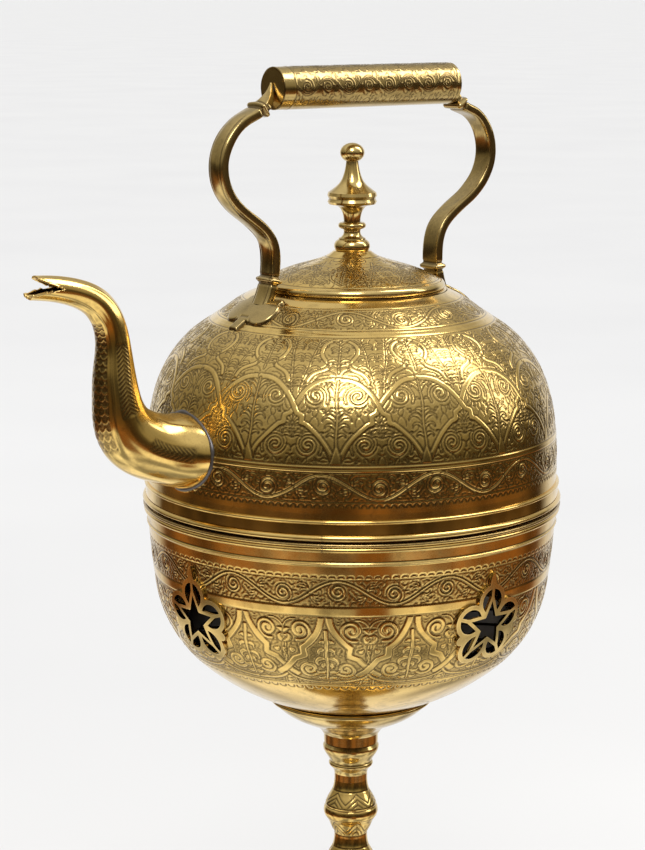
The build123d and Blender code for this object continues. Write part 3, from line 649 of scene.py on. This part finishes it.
def column():
    """The turned castings under the brazier, ringed with engraved chevrons."""
    pieces = []
    balusters, pitch, neck, column_top = 5, 51.0, 14.2, -248.0
    for index in range(balusters):
        z0 = column_top - (index + 1) * pitch
        parts = [
            smooth_path([(neck, 0), (14.6, 4), (16.6, 8), (19.4, 14.5), (22.2, 18.5)], FINE),
            smooth_path([(22.2, 18.5), (23.4, 22.6), (22.8, 26.8)], FINE),
            np.array([(22.8, 26.8), (21.6, 28.0), (22.2, 29.4)]),
            smooth_path([(22.2, 29.4), (19.4, 35.5), (15.4, 43.5), (neck, pitch)], FINE),
        ]
        line = even_path(np.vstack(parts), 0.6)
        line[:, 1] += z0
        casting = Turned(line, 200, 60 + index)
        casting.height *= 0.7
        s = casting.length_at
        for low, high, radius in ((z0 + 3.5, z0 + 17.0, 17.5), (z0 + 30.0, z0 + 42.0, 18.0)):
            casting.band(chevron_art, radius, s(high) - s(low), low, high, 6, index * 25 + 10,
                         depth=0.3, ground=0.0, grime=0.1)
        for z in (z0 + 3.0, z0 + 18.2, z0 + 29.6, z0 + 42.6):
            casting.ring(s(z), 0.8, 0.3)
        piece = make_mesh(f"chased_baluster_{index + 1}", casting.points(), grid_quads(*casting.height.shape),
                          casting.patina_and_shade)
        pieces.append((piece, f"baluster_{index + 1}"))
    return pieces


SPOUT_PATH = [(150, 57.5), (172, 60.5), (192, 65), (211, 73.5), (223.5, 88), (228.6, 107), (230.5, 128),
              (231, 150), (235, 169), (246, 184.5), (262, 193), (282, 198), (306, 200.5)]
SPOUT_SIZE = [(30.5, 42), (30, 38), (27.5, 30), (26.5, 25.5), (23.5, 22.5), (19, 20.5), (16.4, 17.6),
              (13.6, 14.6), (12.6, 13.2), (12, 12.2), (11, 11.4), (10, 10.4), (9.2, 9.4)]
BEAK_CORNER, BEAK_UPPER, BEAK_LOWER = (-277.0, 198.6), (-320.0, 219.0), (-320.0, 190.6)
SPOUT_WALL = 2.2
SOLDER_R = 1.7               # half thickness of the bead of solder round the spout's root
SCALE = 5.0                  # length of a scale on the spout's breast


def solder_bead(grid, outside):
    """Bead of old solder along the line where the spout's root meets the shell."""
    columns = np.arange(grid.shape[1])
    last = len(grid) - 1 - np.argmax(outside[::-1] < 0, axis=0)
    d0, d1 = outside[last, columns], outside[last + 1, columns]
    part = (d0 / (d0 - d1))[:, None]
    path = grid[last, columns] * (1 - part) + grid[last + 1, columns] * part
    path = sum(np.roll(path, k, axis=0) for k in range(-3, 4)) / 7
    along = unit(np.roll(path, -1, axis=0) - np.roll(path, 1, axis=0))
    away = unit(path * (1, 1, 0))
    side = np.cross(along, away)
    sides = 12
    turn = round_angles(sides)[:, None]
    r = SOLDER_R + wobble(columns * TAU / len(columns), 0.0, 91, 0.5, 50.0)[:, None, None]
    points = path[:, None] + r * (np.cos(turn) * away[:, None] + np.sin(turn) * side[:, None])
    quads = grid_quads(len(path) + 1, sides) % (len(path) * sides)
    return make_mesh("spout_solder_bead", points.reshape(-1, 3), quads)


def spout():
    """Swan-necked spout: chased scales on its breast, feathers on its flanks and an open beak."""
    line = smooth_path([(*p, *q) for p, q in zip(SPOUT_PATH, SPOUT_SIZE)], 0.75)
    path, size = line[:, :2], line[:, 2:]
    s = lengths(path)[:, None]
    columns = 210
    around = round_angles(columns)[None, :] - TAU / 2
    tangent = unit(np.gradient(path, axis=0))
    turn = np.abs(np.degrees(around))
    arc = around * size.mean(1)[:, None]
    facet = sum(bell(turn - a, 9.0) for a in (50, 130))
    swell = 0.45 * facet * held((s - 60) / 30) * held((210 - s) / 30)
    swell = swell + wobble(around, s, 51, 0.12, 70.0)

    def panel(s0, s1, a0, a1):
        """1 between two lengths and two angles from the breast's middle, falling softly to 0 outside."""
        return (held((s - s0) / 3) * held((s1 - s) / 3)
                * held((turn - a0) / 4) * held((a1 - turn) / 4))

    def strokes(share):
        """Lines half way between the whole numbers of share."""
        return held(1.3 - np.abs(share % 1.0 - 0.5) / 0.17)

    breast = panel(74, 172, -10, 40)
    row = np.floor(s / SCALE)
    u = (arc / (1.3 * SCALE) + 0.5 * (row % 2)) % 1.0 - 0.5
    v = 1.0 - (s / SCALE) % 1.0
    scales = held(1.2 - np.abs(np.hypot(u, v * 0.8) - 0.48) / 0.1) * breast
    flank = panel(92, 150, 66, 112)
    off = np.abs(turn - 88)
    quills = strokes((s + 0.27 * off) / 3.4) * flank * (0.55 + 0.45 * (off > 3))
    root = panel(28, 66, 78, 104)
    barbs = strokes((0.8 * s - 0.45 * np.abs(turn - 91)) / 3.0) * root
    worked = np.maximum(np.maximum(breast, 0.75 * flank), 0.75 * root)
    lines = np.maximum(np.maximum(scales, quills), barbs)
    patina_and_shade = held(0.08 + 0.8 * worked * (1 - 0.85 * lines))
    swell = swell - 0.3 * worked * (1 - lines)
    tall, wide = size[:, :1] + swell, size[:, 1:] + swell
    x = -path[:, :1] + np.cos(around) * tall * -tangent[:, 1:]
    z = path[:, 1:] + np.cos(around) * tall * -tangent[:, :1]
    points = np.stack([x, np.sin(around) * wide, z], -1).reshape(-1, 3)
    quads = grid_quads(len(line), columns)
    past = held((BEAK_CORNER[0] - points[:, 0]) / (BEAK_CORNER[0] - BEAK_UPPER[0]))
    upper = BEAK_CORNER[1] + past * (BEAK_UPPER[1] - BEAK_CORNER[1])
    lower = BEAK_CORNER[1] + past * (BEAK_LOWER[1] - BEAK_CORNER[1])
    open_gap = (past > 0) & (points[:, 2] < upper) & (points[:, 2] > lower)
    nearer_top = upper - points[:, 2] < points[:, 2] - lower
    points[:, 2] = np.where(open_gap, np.where(nearer_top, upper, lower), points[:, 2])
    outside = np.hypot(points[:, 0], points[:, 1]) - np.interp(points[:, 2], BODY_Z, BODY_R)
    buried = outside < -0.9                # inside the shell, where the root's opening leaves it out
    tip = points[:, 0] < np.interp(points[:, 2], [186, 198, 207, 230], [-300, -308, -299, -288])
    keep = ~(open_gap[quads].all(1) | buried[quads].all(1) | tip[quads].any(1))
    grid, root_rows = (len(line), columns), 100
    bead = solder_bead(points.reshape(*grid, 3)[:root_rows], outside.reshape(grid)[:root_rows])
    piece = make_mesh("chased_spout", points, quads[keep][:, ::-1], patina_and_shade)
    wall = piece.modifiers.new("wall", "SOLIDIFY")
    wall.thickness, wall.offset = SPOUT_WALL * MM, -1.0
    return piece, bead


STRAP_PATH = [(92.0, 169.0), (88.6, 176.0), (84.9, 190.0), (84.0, 206.0), (87.6, 222.0), (100.5, 236.0),
              (117.5, 248.0), (131.0, 262.5), (137.2, 282.0), (132.4, 302.6), (117.0, 318.6), (101.0, 326.6)]
STRAP_LEAN, STRAP_FOOT_Z = 0.05, 171.0
KNUCKLE_HEIGHTS = (190.0, 326.6)


def handle_strap(side, name):
    """S-shaped cast strap: soft edges, low ridge outside, two collars and a leaf against the grip's end."""
    face = GRIP_ENDS[0] if side < 0 else GRIP_ENDS[1]
    stations = [(side * x + STRAP_LEAN * (z - STRAP_FOOT_Z), z, 10.0, 4.1, 0.25) for x, z in STRAP_PATH]
    gap = abs(stations[-1][0] - face)
    stations += [(face + side * (0.45 * gap + 0.8), 332.0, 7.4, 3.6, 0.7),
                 (face + side * (0.16 * gap + 0.6), 339.5, 3.5, 2.0, 0.9),
                 (face + side * 0.9, 347.5, 0.7, 0.7, 0.9)]
    line = smooth_path(stations, 0.8)
    path, broad, thick, ridge = line[:, :2], line[:, 2:3], line[:, 3:4], line[:, 4:5]
    tangent = unit(np.gradient(path, axis=0))
    normal = np.column_stack([tangent[:, 1], -tangent[:, 0]]) * side
    s = lengths(path)[:, None]
    collar = 0.0
    for height in KNUCKLE_HEIGHTS:
        at = float(np.interp(height, path[:, 1], s[:, 0]))
        collar = collar + 2.1 * bell(s - at, 1.9, 4) - 0.5 * bell(np.abs(s - at) - 3.6, 1.1)
    columns = 72
    turn = round_angles(columns)[None, :]
    v, u = (np.sign(c) * np.abs(c) ** 0.36 for c in (np.cos(turn), np.sin(turn)))   # square, corners rounded
    wide = v * (broad + collar)
    deep = u * (thick + collar) + held(u) * ridge * thick * (1 - np.abs(v))
    deep = deep + wobble(turn, s, 71 + side, 0.12, 30.0)
    groove = bell(np.abs(v) - 0.72, 0.07) * held(u) * held((s[-1] - s - 40) / 8)
    deep = deep - 0.35 * groove
    x = path[:, :1] + normal[:, :1] * deep
    z = path[:, 1:] + normal[:, 1:] * deep
    points = np.stack([x, wide + 0 * x, z], -1).reshape(-1, 3)
    crease = bell(np.abs(collar) - 0.5, 0.35) * (np.abs(collar) > 0.05)
    patina_and_shade = held(0.16 + 0.45 * groove + 0.5 * crease + 0.12 * (u < 0))
    quads = grid_quads(len(line), columns)
    if side > 0:
        quads = quads[:, ::-1]
    return make_mesh(name, points, quads, patina_and_shade)


FOOT_RISE = 3.2


def cast_foot(side, name):
    """Trefoil plate with rounded edges that lies on the dome where a strap stands."""
    profile = smooth_path(BODY, 0.5)
    tangent = unit(np.gradient(profile, axis=0))
    order = np.argsort(profile[:, 0])
    cell = 0.45
    x, y = np.meshgrid(np.arange(80.0, 121.0, cell), np.arange(-31.0, 31.01, cell), indexing="ij")
    flat = np.abs(y)
    inside = np.maximum.reduce([
        np.minimum(7.0 - np.abs(x - 112.4), 5.4 - flat), np.minimum(14.0 - np.abs(x - 96.5), 9.5 - flat),
        12.6 - np.hypot(x - 98.5, flat - 15.2), 5.0 - np.hypot(x - 86.8, flat - 17.5),
    ])
    lift = FOOT_RISE * np.sqrt(held(1 - (1 - held(inside / 2.0)) ** 2)) - 0.5
    lift = lift - 0.7 * bell(x - 106.6, 0.8) * (flat < 5.4) * (inside > 0)
    r = np.hypot(x, y)
    base_z = np.interp(r, profile[order, 0], profile[order, 1])
    out_r = np.interp(r, profile[order, 0], tangent[order, 1])
    out_z = np.interp(r, profile[order, 0], -tangent[order, 0])
    grow = (r + out_r * lift) / r
    points = np.stack([side * x * grow, y * grow, base_z + out_z * lift], -1).reshape(-1, 3)
    quads = grid_quads(*x.shape, closed=False)
    quads = quads[(inside.ravel()[quads] > -0.5).any(1)]
    if side > 0:
        quads = quads[:, ::-1]
    patina_and_shade = held(0.2 + 0.7 * held(1 - inside / 1.2) + 0.5 * (lift < 1.8) * (flat < 5.4))
    return make_mesh(name, points, quads, patina_and_shade)


SEAM_ANGLE = 225.5           # azimuth of the belt's soldered seam


def ring_piece(name, line, dark, lift=0.0, columns=720):
    """Closed ring of revolution; dark is the painted shade of each profile point, lift raises it round the
    ring.
    """
    line = np.array(line, float)
    angle = round_angles(columns)
    away = np.sin(angle - math.radians(VIEW_ANGLE)) ** 2
    z = line[:, 1:] + np.array(lift).reshape(-1, 1) * (0.35 + 0.65 * away)
    r = line[:, :1] + wobble(angle[None, :], line[:, 1:] * 0, 81, 0.05, 50.0)
    points = np.stack([r * np.cos(angle), r * np.sin(angle), z + 0 * r], -1).reshape(-1, 3)
    seam = bell((angle - math.radians(SEAM_ANGLE)) * 175, 0.7)
    patina_and_shade = held(np.array(dark).reshape(-1, 1) + 0.8 * seam)
    return make_mesh(name, points, grid_quads(len(line), columns), patina_and_shade)


def wire_bead():
    turn = np.linspace(-math.pi, math.pi, 29)
    line = np.column_stack([BEAD_R + BEAD_SIZE * np.cos(turn), BEAD_Z + BEAD_SIZE * np.sin(turn)])
    under = held(-np.sin(turn))
    # Painted shade: the bead's underside, where it hangs over the brazier's rim, is painted dark.
    return ring_piece("kettle_wire_bead", line, 0.08 + 0.92 * held(under * 2.4 - 0.7), 1.7 * under)


def rolled_rim():
    """Double roll round the brazier's mouth, with painted shade where the kettle stands on it."""
    top, inside = 1.1, 169.8
    roll = [(173.0 + 2.0 * math.cos(a), -0.5 + 1.7 * math.sin(a)) for a in np.linspace(-1.4, 1.57, 15)]
    lower = [(172.6 + 1.9 * math.cos(a), -4.3 + 2.1 * math.sin(a)) for a in np.linspace(-1.57, 1.35, 15)]
    line = np.array([(inside, -6.4)] + lower + roll + [(inside, top), (inside, -6.4)])
    # Painted shade: dark in the crease between the rolls, on the inside and over the top where the kettle's
    # bead sits.
    dark = np.concatenate([[1.0], np.clip(np.abs(np.linspace(-1.3, 1.3, 15)) * 2.6 - 2.3, 0.1, 1),
                           held(np.linspace(-0.5, 1.9, 15)), [1.0, 1.0]])
    dark[16] = 1.0
    return ring_piece("brazier_rolled_rim", line, dark)


# --- materials ----------------------------------------------------------------
def nodes_of(owner):
    owner.use_nodes = True
    owner.node_tree.nodes.clear()
    return owner.node_tree


def feed(tree_, node, inputs):
    """Links or sets each named or numbered input of a node."""
    for key, value in inputs.items():
        if isinstance(value, bpy.types.NodeSocket):
            tree_.links.new(value, node.inputs[key])
        else:
            node.inputs[key].default_value = value


def add(tree_, kind, inputs=None, **settings):
    node = tree_.nodes.new("ShaderNode" + kind)
    for key, value in settings.items():
        setattr(node, key, value)
    feed(tree_, node, inputs or {})
    return node


def rgba(colour):
    """Three numbers with an alpha, one number as a grey; a socket stays as it is."""
    if isinstance(colour, bpy.types.NodeSocket):
        return colour
    return (*(colour if isinstance(colour, tuple) else (colour,) * 3), 1.0)


def mix(tree_, factor, a, b, blend="MIX"):
    node = add(tree_, "Mix", data_type="RGBA", blend_type=blend)
    feed(tree_, node, {0: factor, 6: rgba(a), 7: rgba(b)})
    return node.outputs[2]


def ramp(tree_, factor, *stops):
    node = add(tree_, "ValToRGB", {0: factor})
    points = node.color_ramp.elements
    for point, (position, colour) in zip(points, (stops[0], stops[-1])):
        point.position, point.color = position, rgba(colour)
    for position, colour in stops[1:-1]:
        points.new(position).color = rgba(colour)
    return node.outputs[0]


def noise(tree_, where, scale, detail=2.0, rough=0.5):
    inputs = {"Vector": where, "Scale": scale, "Detail": detail, "Roughness": rough}
    return add(tree_, "TexNoise", inputs).outputs[0]


def remap(tree_, value, low, high, start=0.0, end=1.0):
    """Takes low..high to start..end and holds the ends beyond."""
    return add(tree_, "MapRange", {0: value, 1: low, 2: high, 3: start, 4: end}).outputs[0]


def times(tree_, a, b):
    return add(tree_, "Math", {0: a, 1: b}, operation="MULTIPLY").outputs[0]


def metal(name, bright, warm, dark, rough, dents=0.0, scratch=0.04, engraved=False):
    """Polished metal with tone changes, tarnish in the hollows, rubbed edges, dents and fine scratches."""
    material = bpy.data.materials.new(name)
    t = nodes_of(material)
    where = add(t, "TexCoord").outputs["Object"]
    broad = noise(t, where, 11.0, 3.0, 0.55)
    fine = noise(t, where, 95.0, 5.0, 0.65)
    specks = noise(t, where, 600.0, 2.0, 0.6)
    shape = add(t, "NewGeometry").outputs["Pointiness"]
    tone = mix(t, ramp(t, broad, (0.36, 0), (0.66, 1)), bright, warm)
    stain = ramp(t, fine, (0.5, 0), (0.78, 0.42))
    colour = mix(t, stain, tone, dark)
    hollow = ramp(t, shape, (0.46, 0.6), (0.497, 0))
    colour = mix(t, hollow, colour, dark)
    if engraved:
        # This attribute is tarnish in the engraving and seams, and painted shade on the wire bead and rolled
        # rim.
        patina_and_shade = add(t, "Attribute", attribute_name="patina_and_shade").outputs["Fac"]
        broken = times(t, patina_and_shade, ramp(t, specks, (0.35, 0.55), (0.65, 1.0)))
        black = ramp(t, broken, (0.06, 0), (0.35, 0.5), (1.0, 0.96))
        colour = mix(t, black, colour, dark)
    rubbed = ramp(t, shape, (0.503, 0), (0.54, 0.55))
    colour = mix(t, rubbed, colour, tuple(min(1, c * k) for c, k in zip(bright, (1.15, 1.15, 1.3))))
    level = ramp(t, fine, (0.3, rough), (0.75, rough + 0.09))
    if engraved:
        level = mix(t, patina_and_shade, level, 0.27)
    height = mix(t, 0.5, specks, fine)
    bump = add(t, "Bump", {"Height": height, "Strength": scratch, "Distance": 0.0004})
    if dents:
        swell = {"Height": noise(t, where, 38.0, 1.0), "Normal": bump.outputs[0]}
        bump = add(t, "Bump", {"Strength": dents, "Distance": 0.002, **swell})
    shader = add(t, "BsdfPrincipled", {
        "Base Color": colour, "Metallic": 1.0, "Roughness": level, "Normal": bump.outputs[0],
    })
    add(t, "OutputMaterial", {"Surface": shader.outputs[0]})
    return material


GOLD = (0.80, 0.585, 0.22)
AMBER = (0.68, 0.465, 0.15)
# Dark brown of tarnish, also used for the painted shade on the wire bead and rolled rim.
TARNISH_AND_SHADE = (0.11, 0.072, 0.032)
engraved_brass = metal("engraved_brass", GOLD, AMBER, TARNISH_AND_SHADE, rough=0.1, dents=0.05, engraved=True)
sheet_brass = metal("spun_sheet_brass", GOLD, AMBER, TARNISH_AND_SHADE, rough=0.07, dents=0.07)
cast_brass = metal("cast_brass", (0.70, 0.53, 0.22), (0.55, 0.40, 0.16), TARNISH_AND_SHADE, rough=0.12, dents=0.1,
                   scratch=0.05)
aged_brass = metal("aged_cast_brass", (0.58, 0.44, 0.19), (0.44, 0.32, 0.13), TARNISH_AND_SHADE, rough=0.13, dents=0.08,
                   engraved=True)
cast_iron = metal("cast_iron", (0.10, 0.095, 0.09), (0.06, 0.05, 0.045), (0.02, 0.015, 0.012), rough=0.5,
                  scratch=0.5)
steel = metal("turned_steel", (0.55, 0.55, 0.54), (0.42, 0.41, 0.39), (0.08, 0.06, 0.05), rough=0.28)
old_solder = metal("old_solder", (0.17, 0.165, 0.17), (0.11, 0.10, 0.095), (0.03, 0.025, 0.02), rough=0.4,
                   scratch=0.3)
FINISHES = {"sheet_brass": sheet_brass, "cast_brass": cast_brass, "cast_iron": cast_iron, "steel": steel}


def dress_cad():
    """Gives every carried-over CAD node the finish of its own material slot."""
    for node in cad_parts.values():
        for slot in node.material_slots:
            slot.material = FINISHES.get(slot.material.name.split(".")[0], sheet_brass)


def place(piece, body, slot, material, *replaced):
    piece.data.materials.append(material)
    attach(piece, body)
    if replaced:
        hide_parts(*replaced)


# --- studio -------------------------------------------------------------------
CAMERA_SIDE = np.array((-0.6018, -0.7986, 0.0))   # level direction from the object toward the viewpoint
RIGHT_SIDE = np.array((0.7986, -0.6018, 0.0))
UP = np.array((0.0, 0.0, 1.0))
AIM = Vector((0, 0, 0.76))                        # where the softboxes point


def softbox(name, toward, distance, size, power):
    """Area light aimed at AIM from a direction given as shares of frontward, rightward and upward."""
    light = bpy.data.lights.new(name, "AREA")
    light.shape, light.size, light.size_y = "RECTANGLE", *size
    light.energy, light.color = power, (1.0, 0.97, 0.92)
    lamp = put(name, light)
    front, right, up = toward
    spot = Vector(CAMERA_SIDE * front + RIGHT_SIDE * right + UP * up).normalized()
    lamp.location = AIM + spot * distance
    lamp.rotation_euler = spot.to_track_quat("Z", "Y").to_euler()


def studio():
    """World that the metal mirrors as a room, three softboxes and a pale floor."""
    world = bpy.context.scene.world = bpy.data.worlds.new("studio")
    t = nodes_of(world)
    ray = add(t, "LightPath")
    where = add(t, "TexCoord").outputs["Generated"]
    up = add(t, "SeparateXYZ", {0: where}).outputs[2]

    def toward(side):
        return add(t, "VectorMath", {0: where, 1: tuple(side)}, operation="DOT_PRODUCT").outputs["Value"]

    def between(value, low, high, soft=0.03):
        return times(t, remap(t, value, low, low + soft), remap(t, value, high, high - soft))

    # The room by height: bright floor below, dark wall round the horizon, paler wall and ceiling above.
    room = ramp(
        t, remap(t, up, -1.0, 1.0),
        (0.0, (1.06, 1.04, 0.98)), (0.283, (1.04, 0.96, 0.78)), (0.297, (0.38, 0.16, 0.045)),
        (0.345, (0.26, 0.11, 0.032)), (0.385, (0.15, 0.082, 0.030)), (0.455, (0.070, 0.048, 0.021)),
        (0.505, (0.095, 0.076, 0.042)), (0.55, (0.27, 0.235, 0.15)), (0.62, (0.37, 0.335, 0.24)),
        (0.72, (0.44, 0.41, 0.32)), (0.87, (0.80, 0.77, 0.68)), (1.0, (0.86, 0.84, 0.78)),
    )
    blotch = ramp(t, noise(t, where, 2.6), (0.38, 0.35), (0.62, 1.3))
    room = mix(t, remap(t, up, 0.04, 0.34, 1.0, 0.15), room, blotch, "MULTIPLY")
    stand_shade = times(t, between(toward(RIGHT_SIDE), 0.02, 0.36), between(up, -0.66, -0.36))
    room = mix(t, stand_shade, room, (0.26, 0.11, 0.03))
    behind = times(t, remap(t, toward(CAMERA_SIDE), -0.62, -0.80), remap(t, up, 0.30, 0.50, 1.0, 0.0))
    around = mix(t, behind, room, (0.90, 0.90, 0.91))
    plain = mix(t, ray.outputs["Is Camera Ray"], 1.07, (0.87, 0.87, 0.875))
    seen = mix(t, ray.outputs["Is Glossy Ray"], plain, around)
    back = add(t, "Background", {"Color": seen, "Strength": 1.0})
    add(t, "OutputWorld", {"Surface": back.outputs[0]})

    softbox("key", (0.66, -0.02, 0.75), 2.0, (0.66, 0.95), 14.0)
    softbox("side", (-0.07, 0.54, 0.84), 2.0, (0.75, 0.9), 13.0)
    softbox("rim", (-0.1, 0.95, 0.45), 2.2, (0.5, 1.3), 7.0)

    material = bpy.data.materials.new("pale_floor")
    t = nodes_of(material)
    spread = add(t, "TexCoord").outputs["Object"]
    tone = ramp(t, noise(t, spread, 1.2), (0.3, (0.805, 0.805, 0.81)), (0.7, (0.83, 0.83, 0.832)))
    # Painted shade: the floor is darker near the stand and pales with distance from it.
    away = add(t, "VectorMath", {0: spread}, operation="LENGTH").outputs["Value"]
    painted_floor_shade = ramp(t, remap(t, away, 0.3, 3.5), (0.0, 0.82), (1.0, 1.0))
    tone = mix(t, 1.0, tone, painted_floor_shade, "MULTIPLY")
    shader = add(t, "BsdfPrincipled", {"Base Color": tone, "Roughness": 0.9})
    add(t, "OutputMaterial", {"Surface": shader.outputs[0]})
    reach = 400.0
    corners = [(CAMERA_SIDE * f + RIGHT_SIDE * r) * reach for f, r in ((1, -1), (1, 1), (-1, 1), (-1, -1))]
    mesh = bpy.data.meshes.new("floor")
    mesh.from_pydata([tuple(c) for c in corners], [], [(0, 1, 2, 3)])
    floor = put("floor", mesh)
    floor.data.materials.append(material)
    floor.visible_glossy = False


def camera():
    data = bpy.data.cameras.new("camera")
    data.sensor_width = 36.0
    data.lens = 97.75
    data.clip_start, data.clip_end = 0.05, 200.0
    view = put("camera", data)
    view.location = (-1.1434, -1.5174, 1.0612)
    view.rotation_euler = (math.radians(79.286), 0.0, math.radians(-36.263))
    bpy.context.scene.camera = view


bpy.context.scene.view_settings.view_transform = "Standard"
studio()
camera()
dress_cad()
SIDES = ((-1, "front"), (1, "rear"))
place(kettle_dome(), "kettle", "sheet_brass", engraved_brass, "kettle_body")
place(brazier_bowl(), "stand", "sheet_brass", engraved_brass, "brazier_bowl")
place(lid_dome(), "lid", "sheet_brass", engraved_brass, "lid_dome")
place(handle_grip(), "kettle", "sheet_brass", aged_brass, "handle_grip")
chased_spout, root_bead = spout()
place(chased_spout, "kettle", "cast_brass", engraved_brass, "spout")
place(root_bead, "kettle", "cast_brass", old_solder)
for side, end in SIDES:
    place(handle_strap(side, f"cast_strap_{end}"), "kettle", "cast_brass", aged_brass, f"handle_strap_{end}")
for side, end in SIDES:
    place(cast_foot(side, f"cast_foot_{end}"), "kettle", "cast_brass", aged_brass, f"handle_foot_{end}")
place(wire_bead(), "kettle", "sheet_brass", engraved_brass, "belt_bead")
place(rolled_rim(), "stand", "sheet_brass", engraved_brass, "brazier_rim")
for casting, node in column():
    place(casting, "stand", "cast_brass", engraved_brass, node)

bpy.context.view_layer.update()
